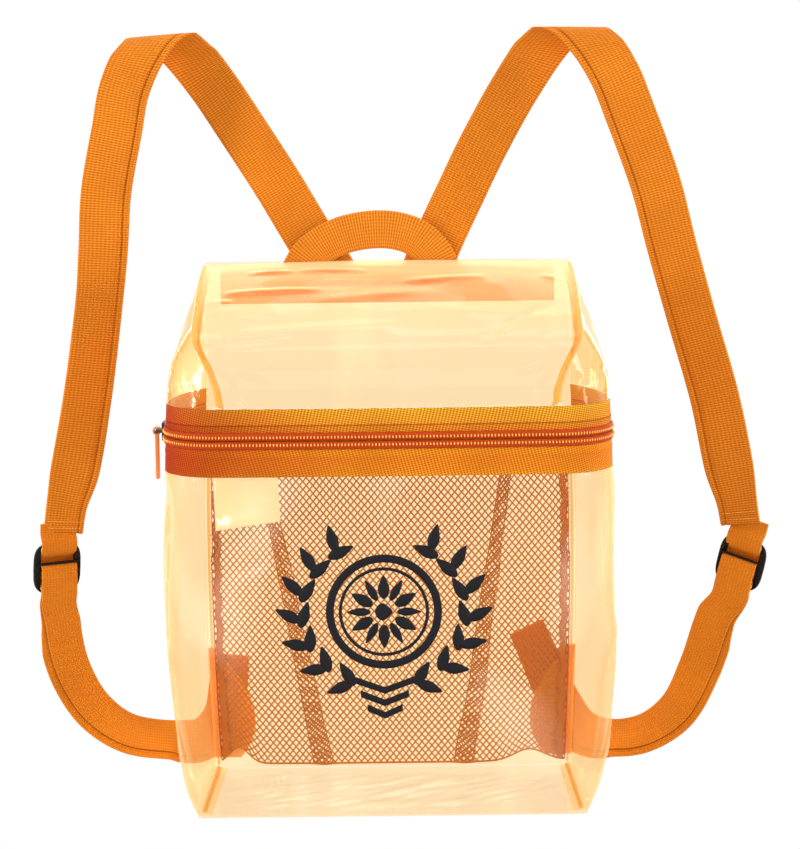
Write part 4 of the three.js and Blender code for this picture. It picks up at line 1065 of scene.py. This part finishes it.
def soft_top(z, top=0.0012, ease=0.003):
    """Heights, in metres, rounded off below a top, because a crest bends round and has no corner."""
    return -ease * math.log(math.exp(-z / ease) + math.exp(-top / ease)) if z > -0.02 else z


def closer(bm):
    """Makes triangles of a band's many-sided ends."""
    bmesh.ops.triangulate(bm, faces=[face for face in bm.faces if len(face.verts) > 4])
    return bm


STRAP_START, STRAP_STEPS = 9, 240  # a sewn end is drawn 9 mm shorter than the solid's
for side, rows in (("left", LEFT_STRAP), ("right", RIGHT_STRAP)):
    length, frame_at = route_of(rows, STRAP_DEPTH)
    stations = []
    for i in range(STRAP_STEPS + 1):
        distance = lerp(STRAP_START, length, i / STRAP_STEPS)
        place, along, width, face, wide = frame_at(distance)
        puff = 0.25 * ripple(21, distance / 40, len(side))
        stations.append((place + face * puff, width, face, wide, distance))
    profile = rounded_profile(STRAP_WIDTH / 2, STRAP_THICK, groove=STRAP_WIDTH / 2 - 4.6)
    strap = closer(band(stations, profile, flip=side == "left"))
    for vert in strap.verts:
        vert.co.z = soft_top(vert.co.z)
    keep(strap, f"strap_{side}", strap_cloth, replaces=[f"shoulder_strap_{side}"])
    print(f"{side} strap: {length:.0f} mm along its route")

# %% [markdown]
# ## Adjusting webs
#
# Each lower web leaves the strap's hem, weaves through the black adjuster, runs down to the tab in the back
# seam, turns, and comes back up to loop round the adjuster's bar. `lift` is how far a layer lies in front
# of the route, so the two layers never meet, and `aside` how far it lies to the outer side: the rear layer
# peeps out there as a darker strip.

# %% Webs
GLIDE_WIDTH, GLIDE_HEIGHT, GLIDE_THICK, GLIDE_BAR, GLIDE_RIM, GLIDE_DROP = 36, 35, 2.6, 3.0, 2.9, 22.5
WEB_ASIDE = 5.2


def web_layers(length):
    """(distance, lift, aside) along the web, from the hem round and back to the adjuster."""
    over_rim = GLIDE_THICK / 2 + GAP + WEB_THICK / 2 + 0.15
    wrap = math.hypot(GLIDE_THICK, GLIDE_BAR) / 2 + GAP + WEB_THICK / 2
    layer = (WEB_THICK + WEB_SLACK) / 2
    behind = wrap + WEB_THICK + GAP
    doubled = over_rim + WEB_THICK + GAP + 0.1
    rim = GLIDE_HEIGHT / 2 - GLIDE_RIM / 2
    bar, end = GLIDE_DROP, length - layer
    rows = [
        (-8, -1.3), (-1, -0.8),
        (bar - rim - 2.5, over_rim * 0.85), (bar - rim, over_rim), (bar - rim + 2.5, over_rim * 0.9),
        (bar - 9.5, 0.2), (bar - 6, -behind * 0.72), (bar - 2.5, -behind), (bar + 2.5, -behind),
        (bar + 6, -behind * 0.72), (bar + 10, 0.4), (bar + rim - 2, over_rim), (bar + rim + 2, over_rim),
        (bar + rim + 9, -layer),
    ]
    rows += [
        (lerp(bar + rim + 9, end, i / 34), -layer, WEB_ASIDE * min(1, i / 5, (34 - i) / 12)) for i in range(1, 35)
    ]
    rows += [(end + layer * math.sin(math.pi * s), -layer * math.cos(math.pi * s)) for s in (0.25, 0.5, 0.75)]
    rows += [(lerp(end, bar + rim + 16, i / 34), layer) for i in range(35)]
    rows += [(bar + rim + 10, layer + 0.8), (bar + rim + 3, doubled), (bar + rim - 3, doubled),
             (bar + 7, doubled * 0.95), (bar + 3, wrap + 0.4)]
    rows += [(bar - wrap * math.sin(math.pi * i / 8), wrap * math.cos(math.pi * i / 8)) for i in range(9)]
    return [(*row, 0)[:3] for row in rows + [(bar + 2.5, -wrap)]]


def web_frame(length, frame_at, distance):
    """The web lies straight through the adjuster, then eases into its own route."""
    place, along, width, face, _ = frame_at(distance)
    start, over = GLIDE_DROP + GLIDE_HEIGHT / 2 + 2, 22
    if distance >= start + over:
        return place, along, width, face
    held, held_along, held_width, _, _ = frame_at(GLIDE_DROP)
    held = held + held_along * (distance - GLIDE_DROP) - held_width * 1.0
    t = max(0, (distance - start) / over)
    ease = t * t * (3 - 2 * t)
    along = held_along.lerp(along, ease).normalized()
    width = held_width.lerp(width, ease)
    width = (width - along * width.dot(along)).normalized()
    return held.lerp(place, ease), along, width, width.cross(along)


adjusters = {}
for side, rows in (("left", LEFT_WEB), ("right", RIGHT_WEB)):
    length, frame_at = route_of(rows, ANCHOR_DEPTH)
    layers = smooth_curve([Vector(row) for row in web_layers(length)])
    count = 3 * len(web_layers(length))
    stations, walked, before = [], 0.0, None
    for i in range(count + 1):
        at, lift, aside = layers(i / count)
        place, along, width, face = web_frame(length, frame_at, at)
        place = place + along * max(0, at - length) + face * lift - width * aside
        walked += (place - before).length if before else 0
        before = place
        stations.append([place, width, face, 1, walked])
    for i, station in enumerate(stations):
        ahead, back = stations[min(count, i + 1)][0], stations[max(0, i - 1)][0]
        station[2] = station[1].cross(ahead - back).normalized()
    web = closer(band(stations, rounded_profile(WEB_WIDTH / 2, WEB_THICK), flip=side == "left"))
    keep(web, f"web_{side}", web_cloth, replaces=[f"adjuster_web_{side}"])
    adjusters[side] = frame_at(GLIDE_DROP)
    print(f"{side} web: {walked:.0f} mm of webbing")

# %% [markdown]
# ## Yoke band and carry handle
#
# A flat webbing lies along the back panel's top edge, and the carry handle rises from it in its own plane.
# Both use the band profile, with stations worked out from a straight line and from a curve.

# %% Yoke and handle
YOKE_WIDTH = 220
YOKE_MIDDLE = BODY_HEIGHT - 3 - WEB_WIDTH / 2
UP, BACK = Vector((0, 0, 1)), Vector((0, 1, 0))
yoke_stations = []
for i in range(61):
    x = lerp(YOKE_WIDTH / 2, -YOKE_WIDTH / 2, i / 60)
    yoke_stations.append((Vector((x, YOKE_DEPTH, YOKE_MIDDLE)), UP, BACK, 1, x + YOKE_WIDTH / 2))
yoke = closer(band(yoke_stations, rounded_profile(WEB_WIDTH / 2, WEB_THICK)))
keep(yoke, "yoke", yoke_cloth, replaces=["yoke_band"])

# across, up
HANDLE_ROUTE = [
    (-0.292, 0.930), (-0.270, 0.968), (-0.228, 1.012), (-0.152, 1.043), (-0.062, 1.057),
    (0.022, 1.056), (0.092, 1.040), (0.142, 1.008), (0.168, 0.968), (0.178, 0.930),
]
handle_curve = smooth_curve([Vector((a * YOKE_WIDTH, HANDLE_DEPTH, u * BODY_HEIGHT)) for a, u in HANDLE_ROUTE])
handle_stations, walked = [], 0.0
for i in range(121):
    place = handle_curve(i / 120)
    along = (handle_curve(i / 120 + 1e-3) - handle_curve(i / 120 - 1e-3)).normalized()
    walked += (place - handle_stations[-1][0]).length if handle_stations else 0
    width = Vector((-along.z, 0, along.x))
    handle_stations.append((place, width, width.cross(along), 1, walked))
handle = closer(band(handle_stations, rounded_profile(WEB_WIDTH / 2, WEB_THICK)))
keep(handle, "handle", handle_cloth, replaces=["carry_handle"])
print(f"handle: {walked:.0f} mm of webbing")

# %% [markdown]
# ## Adjusters, slider and pull
#
# These hard parts have the right outline in the solids, but real moulded and cast edges are rounded. A copy
# of each solid is merged, its flat faces joined, and its sharp edges bevelled. The adjuster's copy is drawn in
# a little at its inner end, and a thin black wire lies across its bar, so a black line shows between the two webs.

# %% Hard parts
def rounded_copy(name, new_name, material, radius, body="bag", angle=35):
    bm = bmesh.new()
    bm.from_mesh(frame["nodes"][name].data)
    bmesh.ops.remove_doubles(bm, verts=bm.verts, dist=2e-5)
    bmesh.ops.dissolve_limit(bm, angle_limit=math.radians(2), verts=bm.verts, edges=bm.edges)
    sharp = [e for e in bm.edges if e.is_manifold and e.calc_face_angle(0) > math.radians(angle)]
    bmesh.ops.bevel(
        bm, geom=sharp, offset=radius / 1000, offset_type="OFFSET", segments=3, profile=0.5, affect="EDGES",
        clamp_overlap=True, material=-1,
    )
    bmesh.ops.triangulate(bm, faces=[face for face in bm.faces if len(face.verts) > 4])
    return keep(bm, new_name, material, body=body, replaces=[name])


INNER_TRIM = 0.09
for side, sign in SIDES:
    adjuster = rounded_copy(f"tri_glide_{side}", f"adjuster_{side}", black_plastic, 0.7)
    place, along, width, face, _ = adjusters[side]
    way = Vector((sign, 1, 1))
    centre, across = to_row(place * way), width * way
    for vert in adjuster.data.vertices:
        vert.co -= across * ((vert.co - centre).dot(across) + GLIDE_WIDTH / 2000) * INNER_TRIM
    # A thin black wire across the bar, which shows as a black line between the two webs.
    black_line = [to_row((place - along * 3.9 + face * 2.3 + width * u) * way) for u in range(-15, 14, 4)]
    wires(f"adjuster_black_line_{side}", [black_line], 0.0009, black_plastic, sides=3)
rounded_copy("zip_slider", "slider", black_enamel, 0.35)
rounded_copy("zip_pull", "pull", enamel, 0.45, body="pull")

# %% [markdown]
# ## Anchor tabs
#
# A three-cornered piece of fabric sewn in the lower back seam carries each web's end. It is a laid grid with
# a little puff between its seams.

# %% Anchor tabs
TAB_FOOT, TAB_HEIGHT, TAB_REACH = 8, 76, 29


def tab_place(side):
    def place(s, t):
        seam = lerp(body_point(TAB_FOOT, 1).x, body_point(TAB_FOOT + TAB_HEIGHT, 1).x, t)
        point = math.sin(math.pi * lerp(0.12, 0.97, t) ** 0.8) ** 0.8
        x = lerp(seam, seam - max(3, TAB_REACH * point), s)
        puff = 0.2 * ripple(23, s * 3, t * 4) * math.sin(math.pi * s)
        return Vector((side * x, YOKE_DEPTH + WEB_THICK / 2 - 0.15 + puff, TAB_FOOT + TAB_HEIGHT * t))

    return place


for name, side in SIDES:
    tab = laid_grid(20, 46, tab_place(side), (TAB_REACH, TAB_HEIGHT))
    if side < 0:
        bmesh.ops.reverse_faces(tab, faces=tab.faces)
    walled(keep(tab, f"tab_{name}", tab_cloth, replaces=[f"anchor_tab_{name}"]), 1.1)

# %% [markdown]
# ## Stitches
#
# Thread shows wherever webbing or a seam is sewn: across the hems, along the yoke, and up both sides of the
# back. Each stitch is a stretched ball of twenty faces, laid in its direction on what it is sewn to.

# %% Stitches
def stitch_line(start, end, out, pitch=2.6):
    """Stitches from start to end, millimetres, lying on a face that looks along out."""
    count = max(1, round((end - start).length / pitch))
    along = (end - start).normalized()
    out = (out - along * out.dot(along)).normalized()
    return [(to_row(start + (end - start) * (i + 0.5) / count), along, out) for i in range(count)]


sewn = []
for (_, sign), rows in zip(SIDES, (LEFT_STRAP, RIGHT_STRAP)):
    length, frame_at = route_of(rows, STRAP_DEPTH)
    way = Vector((sign, 1, 1))
    for back in (4.0, 8.5):
        place, along, width, face, wide = frame_at(length - back)
        half = width * (STRAP_WIDTH / 2 - 2.5) * wide
        sewn += stitch_line(
            (place - half + face * 1.42) * way, (place + half + face * 1.42) * way, face * way, pitch=2.2
        )
for height in (YOKE_MIDDLE - 9.5, YOKE_MIDDLE + 9.5):
    start, end = (Vector((x, YOKE_DEPTH - 1.9, height)) for x in (-106, 106))
    sewn += stitch_line(start, end, -BACK, pitch=3)
for side in (-1, 1):
    for inset in (4.2, 8.0):
        for step in range(6):
            low, high = 12 + 32 * step, 44 + 32 * step
            a = Vector((side * (body_point(low, 1).x - inset), BACK_INNER - 0.9, low))
            b = Vector((side * (body_point(high, 1).x - inset), BACK_INNER - 0.9, high))
            sewn += stitch_line(a, b, -BACK, pitch=3)
beads("stitches", sewn, (0.00105, 0.00022, 0.00028), stitch_thread)
print("stitches:", len(sewn))

# %% [markdown]
# The bottom's two side edges are sewn with a zigzag through doubled film. The doubled film is a narrow strip
# lying inside the edge, and the thread a thin wire that swings across it.

# %% Bottom seams
for name, side in SIDES:
    front_corner = body_point(FILM_FOOT, CORNER_SHARE)
    back_corner = Vector((body_point(FILM_FOOT, 1).x, BACK_INNER, FILM_FOOT))

    def strip_place(s, t, side=side, a=front_corner, b=back_corner):
        x = lerp(a.x, b.x, t) - 1.0 - 7.5 * s
        lift = 1.3 + 1.6 * (1 - s) ** 2 + 0.4 * ripple(24, t * 9, s + side)
        return Vector((side * x, lerp(a.y + 3, b.y - 3, t), lift))

    strip = laid_grid(6, 60, strip_place, (7.5, 110))
    if side > 0:
        bmesh.ops.reverse_faces(strip, faces=strip.faces)
    walled(keep(strip, f"bottom_seam_{name}", film_hem), FILM_WALL, offset=1)
    swing = []
    for i in range(64):
        spot = strip_place(0.12 if i % 2 else 0.5, (i + 0.5) / 64)
        swing.append(to_row(spot + Vector((0, 0, 0.7))))
    wires(f"bottom_zigzag_{name}", [swing], 0.00028, stitch_thread, sides=1)

# %% [markdown]
# Roof and gussets are sewn edge to edge with the raw film turned in, and that makes a fine deeper cord along
# each of the hood's edges. A wire of doubled film along the solids' own edge curve shows it.

# %% Hood edges
for name, side in SIDES:
    cord = []
    for i in range(91):
        edge = roof_edge(lerp(0.01, 0.985, i / 90))
        lean = 0.5 * ripple(25, i / 7, side)
        cord.append(to_row((side * (edge.x + 0.5 + 0.4 * lean), edge.y - 0.2, edge.z + 0.4 + lean)))
    wires(f"hood_edge_{name}", [cord], 0.00085, film_doubled, sides=3)

    def flap_place(s, t, side=side):
        edge = roof_edge(lerp(0.015, 0.975, t))
        wide = 3.6 + 0.9 * ripple(27, t * 13, side)
        return Vector((side * (edge.x - 0.4 - wide * s), edge.y + 0.6 * s, edge.z - 0.9 - 1.2 * s))

    flap = laid_grid(4, 120, flap_place, (4, 178))
    if side > 0:
        bmesh.ops.reverse_faces(flap, faces=flap.faces)
    walled(keep(flap, f"hood_flap_{name}", film_doubled), 0.4)
print("hood edges: 2, each with its flap")

# %% [markdown]
# ## Print
#
# A plain black emblem is printed on the front: a ring with a rosette, a spray of leaves on either side and
# three chevrons below. Each shape starts as a circle or a small grid, is stretched in its own plane, and is
# then laid a hair in front of the film's relief.

# %% Emblem
EMBLEM_MIDDLE = Vector((-4, 124))
ROSETTE_UP, PETAL_REACH, PETALS, LEAF_PAIRS = 10, 15.5, 12, 7


def on_front(x, height, out=0.0):
    """A place on the front film, at x and height in millimetres."""
    flat = BASE_WIDTH * between(BODY_LEVELS, height / HOOD_BASE)[1]
    turn = max(-1, min(1, x / flat)) * FLAT_SHARE
    point = body_point(height, turn)
    return to_row(point - Vector((0, body_relief(turn, height) + out, 0)))


def leaf(bm, x, z, long, wide, turn):
    shape = bmesh.ops.create_circle(bm, cap_ends=True, segments=24, radius=1.0)
    for vert in shape["verts"]:
        a, b = vert.co.x, vert.co.y * (1 - 0.25 * abs(vert.co.x)) * (1 - 0.35 * vert.co.x)
        a, b = long * a, wide * b
        vert.co = (x + a * math.cos(turn) - b * math.sin(turn), z + a * math.sin(turn) + b * math.cos(turn), 0)


def ring(bm, x, z, outer, inner):
    big = bmesh.ops.create_circle(bm, segments=72, radius=outer, matrix=Matrix.Translation((x, z, 0)))["verts"]
    small = bmesh.ops.create_circle(bm, segments=72, radius=inner, matrix=Matrix.Translation((x, z, 0)))["verts"]
    edges = {edge for vert in big + small for edge in vert.link_edges}
    bmesh.ops.bridge_loops(bm, edges=list(edges))


def chevron(bm, x, z, half, drop, thick):
    grid = bmesh.ops.create_grid(bm, x_segments=20, y_segments=1, size=1.0)["verts"]
    for vert in grid:
        a, b = vert.co.x, vert.co.y
        vert.co = (x + half * a, z + drop * abs(a) + thick / 2 * b, 0)


emblem = bmesh.new()
ring(emblem, 0, ROSETTE_UP, 36, 31)
ring(emblem, 0, ROSETTE_UP, 28, 26)
leaf(emblem, 0, ROSETTE_UP, 5.5, 5.5, 0)
for i in range(PETALS):
    angle = math.tau * i / PETALS
    x, z = PETAL_REACH * math.cos(angle), ROSETTE_UP + PETAL_REACH * math.sin(angle)
    leaf(emblem, x, z, 7.4, 3.6 if i % 2 else 2.6, angle)
for side in (-1, 1):
    for i in range(LEAF_PAIRS):
        t = i / (LEAF_PAIRS - 1)
        angle = math.radians(lerp(-62, 58, t))
        x, z = 55 * math.cos(angle), ROSETTE_UP + 50 * math.sin(angle)
        way = angle + lerp(0.95, 0.55, t)
        for out, turn in ((4.5, -0.25), (-5.5, 1.15)):
            a, b = x + out * math.cos(angle), z + out * math.sin(angle)
            spin = way + turn
            leaf(emblem, side * a, b, 8.6, 3.7, spin if side > 0 else math.pi - spin)
for i in range(3):
    chevron(emblem, 0, -40 - 8 * i, 19 - 4 * i, 7 - i, 4.4)
emblem.faces.ensure_lookup_table()
bmesh.ops.triangulate(emblem, faces=emblem.faces)
for _ in range(3):
    long_edges = [edge for edge in emblem.edges if edge.calc_length() > 5]
    bmesh.ops.subdivide_edges(emblem, edges=long_edges, cuts=1, use_grid_fill=True)
    bmesh.ops.triangulate(emblem, faces=[face for face in emblem.faces if len(face.verts) > 3])
for vert in emblem.verts:
    vert.co = on_front(EMBLEM_MIDDLE.x + vert.co.x, EMBLEM_MIDDLE.y + vert.co.y, out=0.12)
bmesh.ops.recalc_face_normals(emblem, faces=emblem.faces)
for face in emblem.faces:
    if face.normal.y > 0:
        face.normal_flip()
walled(keep(emblem, "front_emblem", print_ink), 0.08, offset=1)

# %% [markdown]
# ## Floor and light
#
# A pale floor lies just below the bag. It glows as a lit white sweep does, so that no edge or shadow shows.
# What the camera sees behind the bag is white, while the film and the hard parts mirror a dimmer room with a
# few large lamps: that is what makes folds and corners show.

# %% Floor
FLOOR_PLACE, FLOOR_REACH = (0, 0, -0.4952), 14  # metres
SWEEP_BEGIN, SWEEP_FULL = 0.14, 0.5  # metres from the frame's origin, which lies 0.495 above the floor
floor_mesh = bmesh.new()
floor_spot = Matrix.Translation(FLOOR_PLACE)
bmesh.ops.create_circle(floor_mesh, cap_ends=True, segments=96, radius=FLOOR_REACH, matrix=floor_spot)
floor_paint, tree = empty_material("floor_paint")
floor_place = node(tree, "TexCoord").outputs["Object"]
from_bag = node(tree, "VectorMath", {0: floor_place}, operation="LENGTH").outputs["Value"]
spread = {"Value": from_bag, "From Min": SWEEP_BEGIN, "From Max": SWEEP_FULL}
sweep = node(tree, "MapRange", spread, interpolation_type="SMOOTHSTEP").outputs[0]
matt = node(tree, "BsdfDiffuse", {"Color": (0.92, 0.92, 0.92, 1)}).outputs[0]
glow = node(tree, "Emission", {"Color": (1, 1, 1, 1), "Strength": 1.0}).outputs[0]
close(tree, node(tree, "MixShader", {0: sweep, 1: matt, 2: glow}).outputs[0])
floor_data = bpy.data.meshes.new("floor")
floor_mesh.to_mesh(floor_data)
floor_mesh.free()
floor = bpy.data.objects.new("floor", floor_data)
floor_data.materials.append(floor_paint)
scene.collection.objects.link(floor)

# %% Room and lamps
room = bpy.data.worlds.new("room")
scene.world = room
room.use_nodes = True
tree = room.node_tree
tree.nodes.clear()
way = node(tree, "SeparateXYZ", {0: node(tree, "TexCoord").outputs["Generated"]})


def dimming(axis, low, high, least):
    """A strength that grows from least to 1 while a direction's part along an axis goes from low to high."""
    spread = {"Value": way.outputs[axis], "From Min": low, "From Max": high, "To Min": least, "To Max": 1.0}
    return node(tree, "MapRange", spread).outputs[0]


strength = calc(tree, "MULTIPLY", dimming("X", -0.6, 0.6, 0.6), dimming("Y", -0.9, -0.1, 0.55))
dim = node(tree, "Background", {"Color": (1, 0.99, 0.97, 1), "Strength": strength}).outputs[0]
white = node(tree, "Background", {"Color": (1, 1, 1, 1), "Strength": 1.0}).outputs[0]
seen = node(tree, "LightPath").outputs["Is Camera Ray"]
mixed = node(tree, "MixShader", {0: seen, 1: dim, 2: white}).outputs[0]
node(tree, "OutputWorld", {"Surface": mixed})


def lamp(name, place, aim, size, watts):
    """A white area lamp of a size (across, up) in metres, aimed at a place."""
    data = bpy.data.lights.new(name, "AREA")
    data.shape = "RECTANGLE"
    data.size, data.size_y = size
    data.energy = watts
    made = bpy.data.objects.new(name, data)
    scene.collection.objects.link(made)
    made.location = place
    made.rotation_mode = "QUATERNION"
    made.rotation_quaternion = (Vector(aim) - Vector(place)).to_track_quat("-Z", "Y")


lamp("lamp_above", (0.0, 0.05, 1.25), (0, -0.05, -0.2), (1.1, 0.3), 2.5)
lamp("lamp_above_front", (0.1, -0.55, 1.2), (0, -0.05, -0.2), (0.9, 0.22), 1.5)
lamp("lamp_behind_high", (0.0, 1.35, 0.95), (0, 0, -0.15), (2.6, 1.7), 26)
lamp("lamp_behind_right", (1.35, 2.0, 0.0), (0.1, 0, -0.3), (0.4, 1.5), 11)
lamp("lamp_behind_left", (-1.3, 1.7, 0.15), (-0.1, 0, -0.3), (0.3, 1.3), 9)
lamp("lamp_left", (-1.3, -0.7, 0.25), (0, -0.05, -0.25), (0.2, 1.3), 15)
lamp("lamp_right", (1.3, -0.5, 0.25), (0, -0.05, -0.25), (0.25, 1.3), 12)
lamp("lamp_front", (0.2, -2.3, 0.7), (0, 0, -0.3), (1.3, 0.7), 3.5)
lamp("strip_low_left", (-0.46, -1.6, -0.34), (0, -0.1, -0.3), (0.04, 0.26), 1)
lamp("strip_low_right", (0.60, -1.5, -0.34), (0, -0.1, -0.3), (0.04, 0.26), 1)

# %% [markdown]
# ## Render set-up
#
# Light has to pass many sheets of film, so rays may cross up to forty clear faces. The plain colour
# transform keeps the white background white.

# %% Finish
scene.view_settings.view_transform = "Standard"
scene.cycles.transparent_max_bounces = 40
